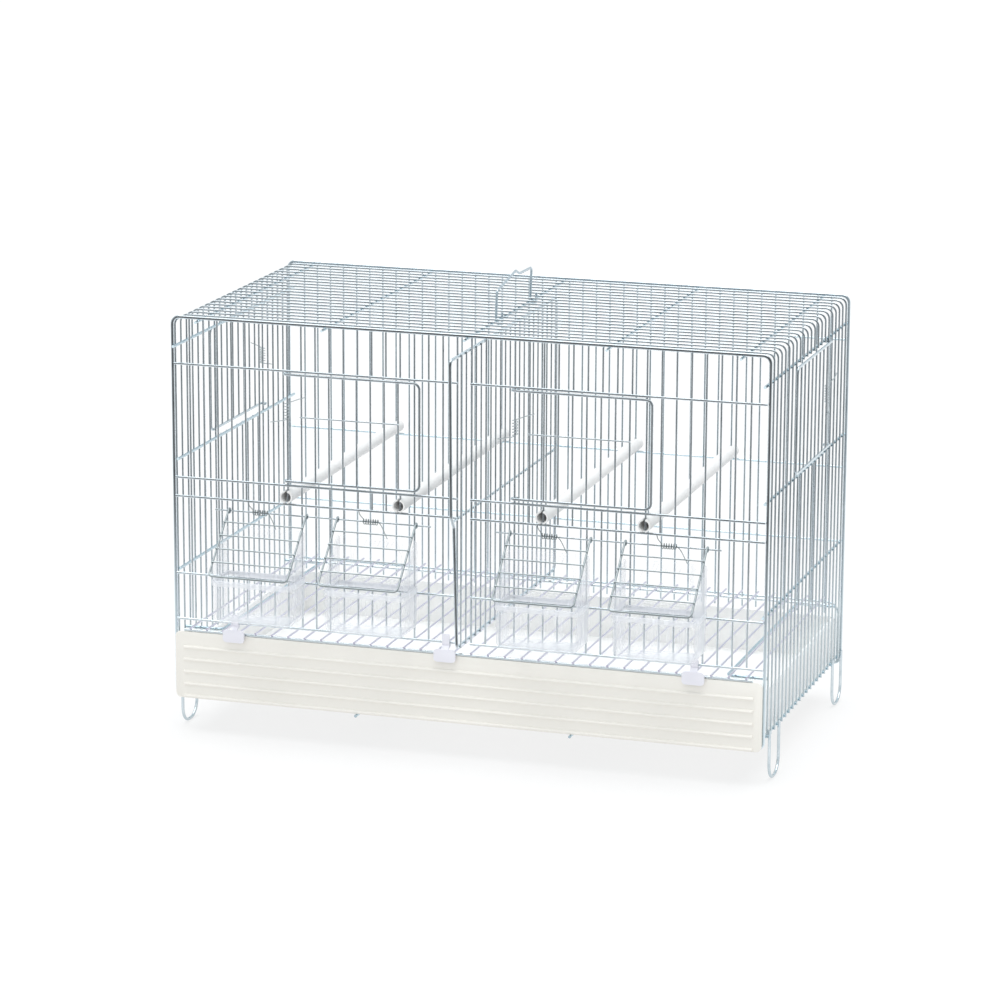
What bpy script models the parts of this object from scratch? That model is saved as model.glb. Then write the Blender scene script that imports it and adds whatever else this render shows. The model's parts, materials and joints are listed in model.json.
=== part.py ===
"""Divided bird cage: a welded wire cage for small birds, split in two by a slide-in wire divider.

Metres, +Z up, +X to the right, the front of the cage towards -Y. The feet stand on Z = 0 and the
origin is at the middle of the whole object's footprint, feeders and flaps included.
Straight wires are drawn as four-sided bars, welded where they cross by a small bite.
"""

import math

import bmesh
import bpy
import numpy as np
from mathutils import Matrix, Vector

# Clearance between separate pieces, how deep crossing wires bite into each other at a weld, and how
# far a lightly tied rail steps back from the wires that it passes without a weld
GAP = 0.0003
BITE = 0.0003
STEP_BACK = BITE + GAP

# Wire radii
FRAME_R = 0.0016
RAIL_R = 0.0012
WIRE_R = 0.0010
CROSS_R = 0.00125
SIDE_R = 0.00145
BRACKET_R = 0.0015

# The cage body: 40 front wires at one pitch, with the divider's slot between wires 19 and 20
PITCH = 0.014
WIRES = 40
HALF = WIRES // 2
DEPTH = 0.310
HOOD_X = 0.289
HOOD_TOP = 0.404
HOOD_BOTTOM = 0.042
HOOD_WIRES = 22
HOOD_FIRST = 0.004
HOOD_PITCH = 0.01425
BEND_R = 0.007

# How far the front and the back reach past the two grilles, which centres the footprint on Y = 0
FRONT_REACH = 0.05872
BACK_REACH = 0.0062
FRONT_Y = (FRONT_REACH - BACK_REACH - DEPTH) / 2
BACK_Y = FRONT_Y + DEPTH

# Levels of the wires that lie flat, above the ground
CROSS_TOP = HOOD_TOP - WIRE_R - CROSS_R + BITE
FRAME_TOP = CROSS_TOP + CROSS_R + FRAME_R + GAP
FRAME_BOTTOM = 0.0358
FRONT_RAILS = {"top": 0.3608, "middle": 0.2508, "rod": 0.2325, "port": 0.157, "base": 0.112}
BACK_RAILS = {"top": 0.3615, "middle": 0.2344, "bottom": 0.1595}
BACK_LOW_RAIL = 0.0965
SIDE_UPPER = 0.3777
SIDE_MIDDLE = 0.2673
SIDE_LOWER = 0.160
SIDE_BASE = 0.043
MIDDLE_WIRE_X = 0.0015
TOP_WIRES_X = (-0.264, -0.138, MIDDLE_WIRE_X, 0.138, 0.264)
SIDE_RAIL_X = HOOD_X - WIRE_R - SIDE_R + BITE
FRAME_X = SIDE_RAIL_X + SIDE_R + FRAME_R + GAP
SLOT_END = 0.0065

# Front doors: the wire each one hangs on, and the wire it shuts against
FRONT_DOORS = {"left": (7, 16), "right": (23, 32)}
DOOR_R = 0.0013
DOOR_LAP = 0.0056
DOOR_BOTTOM = 0.255
DOOR_TOP = 0.3576
DOOR_WIRES = 8
DOOR_CORNER = 0.006
DOOR_MIDDLE = 0.3177
MID_WIRE_R = 0.0007

# Side doors: the hood wires they hang on and shut against
SIDE_DOOR_WIRES = (16, 7)
SIDE_DOOR_BOTTOM = 0.274
SIDE_DOOR_TOP = 0.375

# Feeders: middle of each port, which spans five pitches
FEEDERS = {"1": -0.196, "2": -0.084, "3": 0.084, "4": 0.196}
PORT_WIRES = {"1": (3, 8), "2": (11, 16), "3": (23, 28), "4": (31, 36)}
ROD_Z = 0.222
ROD_R = 0.0008
ROD_Y = FRONT_Y - WIRE_R - GAP - ROD_R
ROD_SPANS = {"left": (2, 17), "right": (22, 37)}
FLAP_ANGLE = math.radians(46)
FLAP_LENGTH = 0.0754
FLAP_HALF = 0.039
FLAP_R = 0.0010
RUNG_R = 0.00075
RUNG_STEP = 0.015
FLAP_SHIFT = {"1": 0.0014, "2": -0.0016, "3": 0.0005, "4": -0.0003}
COIL_SHIFT = {"1": -0.0064, "2": -0.0076, "3": -0.0004, "4": 0.0022}
COIL_HALF = 0.0076
CUP_HALF = 0.0393
CUP_WALL = 0.0018
CUP_BACK = FRONT_Y - 0.0040
CUP_DEPTH = 0.0416
CUP_BOTTOM = 0.1228
CUP_RIM = 0.164
CUP_RIM_TALL = 0.0055
CUP_RIM_PROUD = 0.0012
CUP_CHEEK = 0.175
CUP_TOP = 0.208
HEAD_HALF = 0.0238
HEAD_LOW = 0.168
HEAD_TOP = 0.198
HEAD_CORNER = 0.007

# Tray, floor grate and divider
TRAY_HALF = 0.283
TRAY_BACK = BACK_Y + 0.004
TRAY_BOTTOM = FRAME_BOTTOM + FRAME_R + GAP
TRAY_TOP = 0.082
TRAY_WALL = 0.0022
PANEL_HALF = 0.2895
PANEL_TOP = 0.100
PANEL_BOTTOM = 0.0342
PANEL_FRONT = FRONT_Y - 0.005
PANEL_THICK = 0.0025
PANEL_CORNER = 0.005
RIB_FIRST = 0.0848
RIB_STEP = 0.0121
RIBS = 5
RIB_R = 0.0017
RIB_HALF = 0.281
GRATE_WIRES = 34
GRATE_PITCH = 0.0166
GRATE_END_R = 0.0013
GRATE_Z = PANEL_TOP + GAP + GRATE_END_R
GRATE_HALF = 0.280
DIVIDER_R = 0.0016
DIVIDER_X = -0.0041
DIVIDER_BOTTOM = 0.1093
DIVIDER_TOP = 0.387
DIVIDER_WIRES = 21

# Perches: the front and back wires that each one clips on
PERCH_WIRES = {"1": 7, "2": 15, "3": 25, "4": 32}
PERCH_R = 0.0062
PERCH_BORE = 0.0048
PERCH_FRONT_Z = FRONT_RAILS["rod"] + RAIL_R + GAP + PERCH_R
PERCH_BACK_Z = BACK_RAILS["middle"] + RAIL_R + GAP + PERCH_R
PERCH_REACH = 0.006

# Carry handle on the middle top wire: its legs, and its grip as distances behind the front wires
HANDLE_R = 0.0012
HANDLE_PLAY = 0.0007
HANDLE_LEGS = (0.0984, 0.2064)
HANDLE_GRIP = ((0.1016, 0.4290), (0.160, 0.4388), (0.172, 0.4339), (0.2107, 0.4333))
FOOT_THICK = 0.0029
FOOT_HALF = 0.018
FOOT_Y = (0.035, 0.2875)
CLIPS_X = {"left": -0.2284, "middle": -0.0165, "right": 0.2245}

ZINC = ("zinc wire", (0.62, 0.65, 0.68), 0.28, 1.0)
ZINC_THIN = ("thin zinc wire", (0.66, 0.70, 0.73), 0.30, 1.0)
SPRING_STEEL = ("spring steel", (0.45, 0.46, 0.48), 0.32, 1.0)
IVORY = ("ivory plastic", (0.83, 0.81, 0.76), 0.42, 0.0)
WHITE = ("white plastic", (0.86, 0.86, 0.85), 0.45, 0.0)
CLEAR = ("clear plastic", (0.86, 0.89, 0.92), 0.10, 0.0)


def front_wire_x(index):
    return (index - (WIRES - 1) / 2) * PITCH


def hood_wire_y(index):
    return FRONT_Y + HOOD_FIRST + index * HOOD_PITCH


def new_collection(name):
    made = bpy.data.collections.new(name)
    bpy.context.scene.collection.children.link(made)
    return made


def clear_scene():
    for obj in list(bpy.data.objects):
        bpy.data.objects.remove(obj, do_unlink=True)


def material(finish):
    name, colour, roughness, metallic = finish
    found = bpy.data.materials.get(name)
    if found:
        return found
    made = bpy.data.materials.new(name)
    made.use_nodes = True
    shader = made.node_tree.nodes["Principled BSDF"]
    shader.inputs["Base Color"].default_value = (*colour, 1.0)
    shader.inputs["Roughness"].default_value = roughness
    shader.inputs["Metallic"].default_value = metallic
    if finish is CLEAR:
        shader.inputs["Transmission Weight"].default_value = 0.8
    return made


def arc(centre, radius, start, end, steps, plane):
    """Points on an arc in the plane of two axes, with angles in degrees from the first to the second."""
    first, second = plane
    points = []
    for i in range(steps + 1):
        angle = math.radians(start + (end - start) * i / steps)
        point = list(centre)
        point[first] += radius * math.cos(angle)
        point[second] += radius * math.sin(angle)
        points.append(tuple(point))
    return points


def rounded(points, radius, steps=3, cyclic=False):
    """The polyline with each inner corner replaced by an arc of the radius, in a few straight steps."""
    corners = [Vector(p) for p in points]
    count = len(corners)
    made = []
    for i, corner in enumerate(corners):
        if not cyclic and i in (0, count - 1):
            made.append(tuple(corner))
            continue
        before = (corners[i - 1] - corner).normalized()
        after = (corners[(i + 1) % count] - corner).normalized()
        turn = before.angle(after)
        if turn > math.radians(178):
            made.append(tuple(corner))
            continue
        reach = radius / math.tan(turn / 2)
        middle = corner + (before + after).normalized() * (radius / math.sin(turn / 2))
        start = corner + before * reach - middle
        end = corner + after * reach - middle
        sweep = start.angle(end)
        for j in range(steps + 1):
            t = j / steps
            a = math.sin((1 - t) * sweep) / math.sin(sweep)
            b = math.sin(t * sweep) / math.sin(sweep)
            made.append(tuple(middle + start * a + end * b))
    return made


def tied(start, end, near, far, step):
    """A rail welded to the wires near its ends, which steps back between two distances along it."""
    start, end, step = Vector(start), Vector(end), Vector(step)
    way = (end - start).normalized()
    ramp = 0.005
    bends = [start, start + way * near, start + way * (near + ramp) + step]
    bends += [start + way * (far - ramp) + step, start + way * far, end]
    return [tuple(bend) for bend in bends]


def wires(routes, radius, resolution=0, cyclic=False, tilt=0.0):
    """One mesh of closed tubes, one along each route, from a curve with a round bevel and filled ends."""
    data = bpy.data.curves.new("wires", "CURVE")
    data.dimensions = "3D"
    data.bevel_depth = radius
    data.bevel_resolution = resolution
    data.use_fill_caps = True
    for route in routes:
        spline = data.splines.new("POLY")
        spline.points.add(len(route) - 1)
        for point, place in zip(spline.points, route):
            point.co = (*place, 1.0)
            point.tilt = tilt
        spline.use_cyclic_u = cyclic
    curve = bpy.data.objects.new("wires", data)
    bpy.context.scene.collection.objects.link(curve)
    mesh = bpy.data.meshes.new_from_object(curve.evaluated_get(bpy.context.evaluated_depsgraph_get()))
    bpy.data.objects.remove(curve, do_unlink=True)
    return welded(mesh)


def welded(mesh):
    """Joins the points that lie on each other and turns the faces outwards."""
    work = bmesh.new()
    work.from_mesh(mesh)
    bmesh.ops.remove_doubles(work, verts=work.verts, dist=1e-6)
    bmesh.ops.recalc_face_normals(work, faces=work.faces)
    work.to_mesh(mesh)
    work.free()
    return mesh


def box(low, high, bevel=0.0, edges=None, segments=2):
    """A box between two corners, with the edges that the test picks rounded."""
    low, high = Vector(low), Vector(high)
    work = bmesh.new()
    bmesh.ops.create_cube(work, size=1.0)
    scale = high - low
    for vert in work.verts:
        vert.co = Vector((vert.co.x * scale.x, vert.co.y * scale.y, vert.co.z * scale.z)) + (low + high) / 2
    if bevel:
        picked = [e for e in work.edges if edges is None or edges(e)]
        bmesh.ops.bevel(work, geom=picked, offset=bevel, segments=segments, affect="EDGES", profile=0.5)
    mesh = bpy.data.meshes.new("box")
    work.to_mesh(mesh)
    work.free()
    return mesh


def slab(outline, low_x, high_x):
    """A flat outline of (y, z) points, drawn as a filled 2D curve and given its thickness along X."""
    data = bpy.data.curves.new("slab", "CURVE")
    data.dimensions = "2D"
    data.fill_mode = "BOTH"
    data.extrude = (high_x - low_x) / 2
    spline = data.splines.new("POLY")
    spline.points.add(len(outline) - 1)
    for point, (y, z) in zip(spline.points, outline):
        point.co = (y, z, 0.0, 1.0)
    spline.use_cyclic_u = True
    curve = bpy.data.objects.new("slab", data)
    bpy.context.scene.collection.objects.link(curve)
    mesh = bpy.data.meshes.new_from_object(curve.evaluated_get(bpy.context.evaluated_depsgraph_get()))
    bpy.data.objects.remove(curve, do_unlink=True)
    # The curve's own x, y, z become the cage's y, z, x
    turn = Matrix(((0, 0, 1, (low_x + high_x) / 2), (1, 0, 0, 0), (0, 1, 0, 0), (0, 0, 0, 1)))
    mesh.transform(turn)
    return welded(mesh)


def tube(start, end, outer, inner, sides=12):
    """A round tube along Y with a bore from end to end, as a turned profile."""
    half_wall = [(outer, start), (outer, end), (inner, end), (inner, start)]
    work = bmesh.new()
    rings = []
    for radius, y in half_wall:
        ring = []
        for i in range(sides):
            angle = 2 * math.pi * (i + 0.5) / sides
            ring.append(work.verts.new((radius * math.cos(angle), y, radius * math.sin(angle))))
        rings.append(ring)
    for ring, following in zip(rings, rings[1:] + rings[:1]):
        for i in range(sides):
            work.faces.new((ring[i], ring[(i + 1) % sides], following[(i + 1) % sides], following[i]))
    bmesh.ops.recalc_face_normals(work, faces=work.faces)
    mesh = bpy.data.meshes.new("tube")
    work.to_mesh(mesh)
    work.free()
    return mesh


def helper(mesh, name):
    obj = bpy.data.objects.new(name, mesh)
    HELPERS.objects.link(obj)
    obj.hide_render = True
    obj.display_type = "WIRE"
    return obj


def node(name, mesh, finish, joins=(), cuts=(), origin=None, smooth=False):
    """One named piece, with what is welded to it and what is cut from it, its origin where it turns."""
    obj = bpy.data.objects.new(name, mesh)
    PARTS.objects.link(obj)
    mesh.materials.clear()
    mesh.materials.append(material(finish))
    for kind, others in (("UNION", joins), ("DIFFERENCE", cuts)):
        for i, other in enumerate(others):
            change = obj.modifiers.new(f"{kind.lower()} {i}", "BOOLEAN")
            change.operation = kind
            change.solver = "EXACT"
            change.object = helper(other, f"{name} {kind.lower()} {i}")
    if smooth:
        mesh.shade_smooth()
        mesh.set_sharp_from_angle(angle=math.radians(40))
    if origin is not None:
        mesh.transform(Matrix.Translation(-Vector(origin)))
        obj.location = origin
    return obj


def front_frame():
    """The heavy loop round the front, which closes under the tray."""
    corners = [
        (-FRAME_X, FRONT_Y, FRAME_BOTTOM),
        (FRAME_X, FRONT_Y, FRAME_BOTTOM),
        (FRAME_X, FRONT_Y, FRAME_TOP),
        (-FRAME_X, FRONT_Y, FRAME_TOP),
    ]
    node("front_frame", wires([rounded(corners, BEND_R, cyclic=True)], FRAME_R, cyclic=True), ZINC)


def back_frame():
    """The loop round the back, and the low rail whose ends turn down beside the tray."""
    corners = [
        (-FRAME_X, BACK_Y, FRAME_BOTTOM),
        (FRAME_X, BACK_Y, FRAME_BOTTOM),
        (FRAME_X, BACK_Y, FRAME_TOP),
        (-FRAME_X, BACK_Y, FRAME_TOP),
    ]
    rail_y = BACK_Y + WIRE_R + CROSS_R + GAP
    leg_x = TRAY_HALF + CROSS_R + 0.002
    low = [
        (-leg_x, rail_y, FRAME_BOTTOM),
        (-leg_x, rail_y, BACK_LOW_RAIL),
        (leg_x, rail_y, BACK_LOW_RAIL),
        (leg_x, rail_y, FRAME_BOTTOM),
    ]
    node(
        "back_frame",
        wires([rounded(corners, BEND_R, cyclic=True)], FRAME_R, cyclic=True),
        ZINC,
        joins=[wires([rounded(low, 0.012)], CROSS_R)],
    )


def grille_wire_runs(index):
    """The heights that one front wire covers: it stops at the doorways and at the feeder ports."""
    rails = FRONT_RAILS
    end = RAIL_R * 0.7
    runs = [(rails["base"] - end, FRAME_TOP - FRAME_R - GAP)]
    openings = [(hung, shut, rails["middle"], rails["top"]) for hung, shut in FRONT_DOORS.values()]
    openings += [(first, last, rails["port"], rails["rod"]) for first, last in PORT_WIRES.values()]
    for first, last, low, high in openings:
        if not first < index < last:
            continue
        cut = []
        for bottom, top in runs:
            if bottom < low < high < top:
                cut += [(bottom, low + end), (high - end, top)]
            else:
                cut.append((bottom, top))
        runs = cut
    return runs


def front_grilles():
    """The two halves of the front, each a welded grille that ends at the divider's slot."""
    rail_y = FRONT_Y - WIRE_R - RAIL_R + BITE
    outer_x = FRAME_X - FRAME_R - GAP
    for side, indices in (("left", range(HALF)), ("right", range(HALF, WIRES))):
        uprights = []
        for index in indices:
            x = front_wire_x(index)
            uprights += [[(x, FRONT_Y, low), (x, FRONT_Y, high)] for low, high in grille_wire_runs(index)]
        ends = (-outer_x, -SLOT_END) if side == "left" else (SLOT_END, outer_x)
        near = front_wire_x(indices[1]) + 0.0035 - ends[0]
        far = front_wire_x(indices[-2]) - 0.0035 - ends[0]
        rails = []
        for name, z in FRONT_RAILS.items():
            rail = ((ends[0], rail_y, z), (ends[1], rail_y, z))
            light = name in ("rod", "port")
            rails.append(tied(*rail, near, far, (0, -STEP_BACK, 0)) if light else list(rail))
        node(f"front_grille_{side}", wires(uprights, WIRE_R), ZINC, joins=[wires(rails, RAIL_R)])


def back_grille():
    rail_y = BACK_Y + WIRE_R + RAIL_R - BITE
    outer_x = FRAME_X - FRAME_R - GAP
    top = FRAME_TOP - FRAME_R - GAP
    bottom = TRAY_TOP + 0.004
    uprights = [
        [(front_wire_x(i), BACK_Y, bottom), (front_wire_x(i), BACK_Y, top)] for i in range(WIRES)
    ]
    near, far = outer_x + front_wire_x(1) + 0.0035, outer_x + front_wire_x(WIRES - 2) - 0.0035
    rails = []
    for name, z in BACK_RAILS.items():
        ends = ((-outer_x, rail_y, z), (outer_x, rail_y, z))
        rails.append(list(ends) if name == "bottom" else tied(*ends, near, far, (0, STEP_BACK, 0)))
    node("back_grille", wires(uprights, WIRE_R), ZINC, joins=[wires(rails, RAIL_R)])


def hood():
    """Wires bent over the roof and both sides, on cross wires that run from front to back inside them."""
    hung, shut = SIDE_DOOR_WIRES
    end = SIDE_R * 0.7
    routes = []
    for i in range(HOOD_WIRES):
        y = hood_wire_y(i)
        if not shut < i < hung:
            bends = [(HOOD_X, y, HOOD_BOTTOM), (HOOD_X, y, HOOD_TOP)]
            bends += [(-HOOD_X, y, HOOD_TOP), (-HOOD_X, y, HOOD_BOTTOM)]
            routes.append(rounded(bends, BEND_R, steps=1))
            continue
        bends = [(HOOD_X, y, SIDE_UPPER - end), (HOOD_X, y, HOOD_TOP)]
        bends += [(-HOOD_X, y, HOOD_TOP), (-HOOD_X, y, SIDE_UPPER - end)]
        routes.append(rounded(bends, BEND_R, steps=1))
        for side in (-1, 1):
            routes.append([(side * HOOD_X, y, HOOD_BOTTOM), (side * HOOD_X, y, SIDE_MIDDLE + end)])
    front_tip = FRONT_Y - 0.007
    back_tip = BACK_Y + 0.0045
    near, far = hood_wire_y(1) + 0.0035, hood_wire_y(HOOD_WIRES - 2) - 0.0035
    cross, side_rails = [], []
    for x in TOP_WIRES_X:
        ends = ((x, front_tip, CROSS_TOP), (x, back_tip, CROSS_TOP))
        cross.append(tied(*ends, near - front_tip, far - front_tip, (0, 0, -STEP_BACK)))
    start, stop = FRONT_Y + 0.003, BACK_Y - 0.002
    for side in (-1, 1):
        x = side * SIDE_RAIL_X
        side_rails.append([(x, front_tip, SIDE_UPPER), (x, back_tip, SIDE_UPPER)])
        side_rails.append([(x, FRONT_Y + 0.0015, SIDE_MIDDLE), (x, back_tip, SIDE_MIDDLE)])
        for z in (SIDE_LOWER, SIDE_BASE):
            ends = ((x, start, z), (x, stop, z))
            side_rails.append(tied(*ends, near - start, far - start, (-side * STEP_BACK, 0, 0)))
    node(
        "hood_grille",
        wires(routes, WIRE_R),
        ZINC,
        joins=[wires(cross, CROSS_R), wires(side_rails, SIDE_R)],
    )


def feet():
    """Hairpin loops outside the hood's lower ends, each with a flat stretch on the ground."""
    half = FOOT_THICK / 2
    x = HOOD_X + WIRE_R + GAP + half
    for side, sign in (("left", -1), ("right", 1)):
        for place, middle in zip(("front", "back"), FOOT_Y):
            y = FRONT_Y + middle
            bends = [
                (sign * x, y - FOOT_HALF, 0.050),
                (sign * x, y - FOOT_HALF, half),
                (sign * x, y + FOOT_HALF, half),
                (sign * x, y + FOOT_HALF, 0.050),
            ]
            # A four-sided bar whose sides face down and outwards
            mesh = wires([rounded(bends, 0.0155, steps=4)], half * math.sqrt(2), tilt=math.radians(45))
            node(f"foot_{place}_{side}", mesh, ZINC)


def base_ties():
    """Two wires under the front and back loops that hold the base in shape."""
    z = FRAME_BOTTOM - FRAME_R - GAP - BRACKET_R
    for side, sign in (("left", -1), ("right", 1)):
        x = sign * 0.106
        route = [(x, FRONT_Y - 0.007, z), (x, BACK_Y + 0.004, z)]
        node(f"base_tie_{side}", wires([route], BRACKET_R), ZINC)


def grate_runners():
    """A wire bracket on each side wall that carries the floor grate."""
    z = GRATE_Z - GRATE_END_R - GAP - BRACKET_R
    wall_x = HOOD_X - WIRE_R - GAP
    for side, sign in (("left", -1), ("right", 1)):
        front, back = hood_wire_y(1), hood_wire_y(HOOD_WIRES - 2)
        bends = [
            (sign * wall_x, front, z),
            (sign * 0.250, front, z),
            (sign * 0.250, back, z),
            (sign * wall_x, back, z),
        ]
        node(f"grate_runner_{side}", wires([rounded(bends, 0.006, steps=2)], BRACKET_R), ZINC)


def feeder_rods():
    for side, (first, last) in ROD_SPANS.items():
        ends = (front_wire_x(first) - 0.003, front_wire_x(last) + 0.003)
        route = [(ends[0], ROD_Y, ROD_Z), (ends[1], ROD_Y, ROD_Z)]
        node(f"feeder_hinge_rod_{side}", wires([route], ROD_R, 1), ZINC_THIN)


def front_doors():
    """Each door is one bent wire whose ends curl round a fixed wire, filled with lighter wires."""
    for side, (hung, shut) in FRONT_DOORS.items():
        hinge_x = front_wire_x(hung)
        free_x = front_wire_x(shut) + DOOR_LAP
        radius = WIRE_R + GAP + DOOR_R
        leaf_y = FRONT_Y - radius
        top_curl = arc((hinge_x, FRONT_Y, DOOR_TOP), radius, -340, -90, 6, (0, 1))
        bottom_curl = arc((hinge_x, FRONT_Y, DOOR_BOTTOM), radius, -90, -340, 6, (0, 1))
        corners = [top_curl[-1], (free_x, leaf_y, DOOR_TOP), (free_x, leaf_y, DOOR_BOTTOM), bottom_curl[0]]
        route = top_curl[:-1] + rounded(corners, DOOR_CORNER, steps=2) + bottom_curl[1:]
        step = (front_wire_x(shut) - 0.0153 - hinge_x - 0.015) / (DOOR_WIRES - 1)
        filling = []
        for i in range(DOOR_WIRES):
            x = hinge_x + 0.015 + i * step
            filling.append([(x, leaf_y, DOOR_BOTTOM), (x, leaf_y, DOOR_TOP)])
        first, last = filling[0][0][0], filling[-1][0][0]
        mid_y = leaf_y - WIRE_R - MID_WIRE_R + BITE
        middle = [[(first - 0.001, mid_y, DOOR_MIDDLE), (last + 0.001, mid_y, DOOR_MIDDLE)]]
        node(
            f"front_door_{side}",
            wires([route], DOOR_R),
            ZINC,
            joins=[wires(filling, WIRE_R), wires(middle, MID_WIRE_R)],
            origin=(hinge_x, FRONT_Y, DOOR_BOTTOM),
        )


def side_doors():
    """The doors in the hood's sides, hung on a hood wire near the back."""
    hung, shut = SIDE_DOOR_WIRES
    radius = WIRE_R + GAP + DOOR_R
    hinge_y = hood_wire_y(hung)
    free_y = hood_wire_y(shut) - DOOR_LAP
    for side, sign in (("left", -1), ("right", 1)):
        leaf_x = sign * (HOOD_X + radius)
        turn = 180 if sign < 0 else 0
        ends = (turn + sign * 250, turn)
        top_curl = arc((sign * HOOD_X, hinge_y, SIDE_DOOR_TOP), radius, ends[0], ends[1], 6, (0, 1))
        low_curl = arc((sign * HOOD_X, hinge_y, SIDE_DOOR_BOTTOM), radius, ends[1], ends[0], 6, (0, 1))
        corners = [top_curl[-1], (leaf_x, free_y, SIDE_DOOR_TOP)]
        corners += [(leaf_x, free_y, SIDE_DOOR_BOTTOM), low_curl[0]]
        route = top_curl[:-1] + rounded(corners, DOOR_CORNER, steps=2) + low_curl[1:]
        step = (hinge_y - 0.015 - hood_wire_y(shut) - 0.0153 + 0.006) / (DOOR_WIRES - 1)
        filling = []
        for i in range(DOOR_WIRES):
            y = hinge_y - 0.015 - i * step
            filling.append([(leaf_x, y, SIDE_DOOR_BOTTOM), (leaf_x, y, SIDE_DOOR_TOP)])
        node(
            f"side_door_{side}",
            wires([route], DOOR_R),
            ZINC,
            joins=[wires(filling, WIRE_R)],
            origin=(sign * HOOD_X, hinge_y, SIDE_DOOR_BOTTOM),
        )


def coil(centre, radius, length, curls, axis, start, per_curl=8):
    """Points of a helix along an axis, its first point at the start angle in degrees."""
    first, second = [(1, 2), (2, 0), (0, 1)][axis]
    count = round(curls * per_curl)
    points = []
    for i in range(count + 1):
        t = i / count
        angle = math.radians(start) + 2 * math.pi * curls * t
        point = list(centre)
        point[axis] += length * (t - 0.5)
        point[first] += radius * math.cos(angle)
        point[second] += radius * math.sin(angle)
        points.append(tuple(point))
    return points


def least_self_gap(points, radius, skip=5):
    """The least clear distance between stretches of the tube that aren't neighbours along it."""
    route = np.array(points)
    dense = np.concatenate([route[:-1] + (route[1:] - route[:-1]) * t for t in (0.0, 0.25, 0.5, 0.75)])
    order = np.concatenate([np.arange(len(route) - 1) + t for t in (0.0, 0.25, 0.5, 0.75)])
    apart = np.linalg.norm(dense[:, None] - dense[None], axis=2)
    near = np.abs(order[:, None] - order[None]) < skip
    return float(np.where(near, np.inf, apart).min() - 2 * radius)


def spring_node(name, points, radius):
    gap = least_self_gap(points, radius)
    print(f"{name}: least gap to itself {gap * 1000:.2f} mm")
    node(name, wires([points], radius, 1), SPRING_STEEL)


def door_springs():
    """Torsion springs wound round the hinge wires, one arm on the door and one on the next fixed wire."""
    radius = 0.00045
    mean = 0.0024
    for side, (hung, _) in FRONT_DOORS.items():
        x = front_wire_x(hung)
        centre_z = 0.322
        turns = coil((x, FRONT_Y, centre_z), mean, 0.0155, 5.5, 2, 90)
        door_arm = [
            (x + 0.0125, FRONT_Y - 0.0046, centre_z + 0.0130),
            (x + 0.0200, FRONT_Y - 0.0046, centre_z + 0.0155),
        ]
        frame_arm = [
            (x - 0.0165, FRONT_Y - 0.0019, centre_z - 0.0112),
            (x - 0.0036, FRONT_Y + 0.0004, centre_z - 0.0092),
        ]
        spring_node(f"front_door_spring_{side}", frame_arm + turns + door_arm, radius)
    # One shape serves both side doors: the right one is the left one turned upside down
    hinge_y = hood_wire_y(SIDE_DOOR_WIRES[0])
    centre_z = 0.3235
    turns = coil((0.0, 0.0, 0.0), mean, 0.0165, 6.5, 2, 180)
    door_arm = [(0.0046, -0.0125, 0.0135), (0.0046, -0.0200, 0.0160)]
    frame_arm = [(0.0019, 0.0310, -0.0155), (0.0019, 0.0165, -0.0120), (-0.0004, 0.0036, -0.0097)]
    for side, sign in (("left", -1), ("right", 1)):
        route = []
        for px, py, pz in frame_arm + turns + door_arm:
            route.append((sign * (HOOD_X + px), hinge_y + py, centre_z - sign * pz))
        spring_node(f"side_door_spring_{side}", route, radius)


def flap_direction():
    """The flap's slope away from its rod, and the outward normal of its plane, as (y, z)."""
    down = (-math.sin(FLAP_ANGLE), -math.cos(FLAP_ANGLE))
    out = (-math.cos(FLAP_ANGLE), math.sin(FLAP_ANGLE))
    return down, out


def flap_point(x, along, proud):
    down, out = flap_direction()
    return (x, ROD_Y + along * down[0] + proud * out[0], ROD_Z + along * down[1] + proud * out[1])


def feeder_flaps():
    """Wire flaps hung on the rods: one wire that curls round the rod at both ends, with four rungs."""
    eye_r = ROD_R + GAP + FLAP_R
    normal = 180 - math.degrees(math.pi / 2 - FLAP_ANGLE)
    for name, port_middle in FEEDERS.items():
        middle = port_middle + FLAP_SHIFT[name]
        left, right = middle - FLAP_HALF, middle + FLAP_HALF
        first = arc((left, ROD_Y, ROD_Z), eye_r, normal - 280, normal, 5, (1, 2))
        last = arc((right, ROD_Y, ROD_Z), eye_r, normal, normal - 280, 5, (1, 2))
        corners = [first[-1], flap_point(left, FLAP_LENGTH, eye_r)]
        corners += [flap_point(right, FLAP_LENGTH, eye_r), last[0]]
        route = first[:-1] + rounded(corners, 0.004, steps=2) + last[1:]
        proud = eye_r + FLAP_R + RUNG_R - BITE
        rungs = []
        for i in range(1, 5):
            ends = [flap_point(x, i * RUNG_STEP, proud) for x in (left - 0.001, right + 0.001)]
            rungs.append(ends)
        node(
            f"feeder_flap_{name}",
            wires([route], FLAP_R),
            ZINC_THIN,
            joins=[wires(rungs, RUNG_R)],
            origin=(middle, ROD_Y, ROD_Z),
        )


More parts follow.
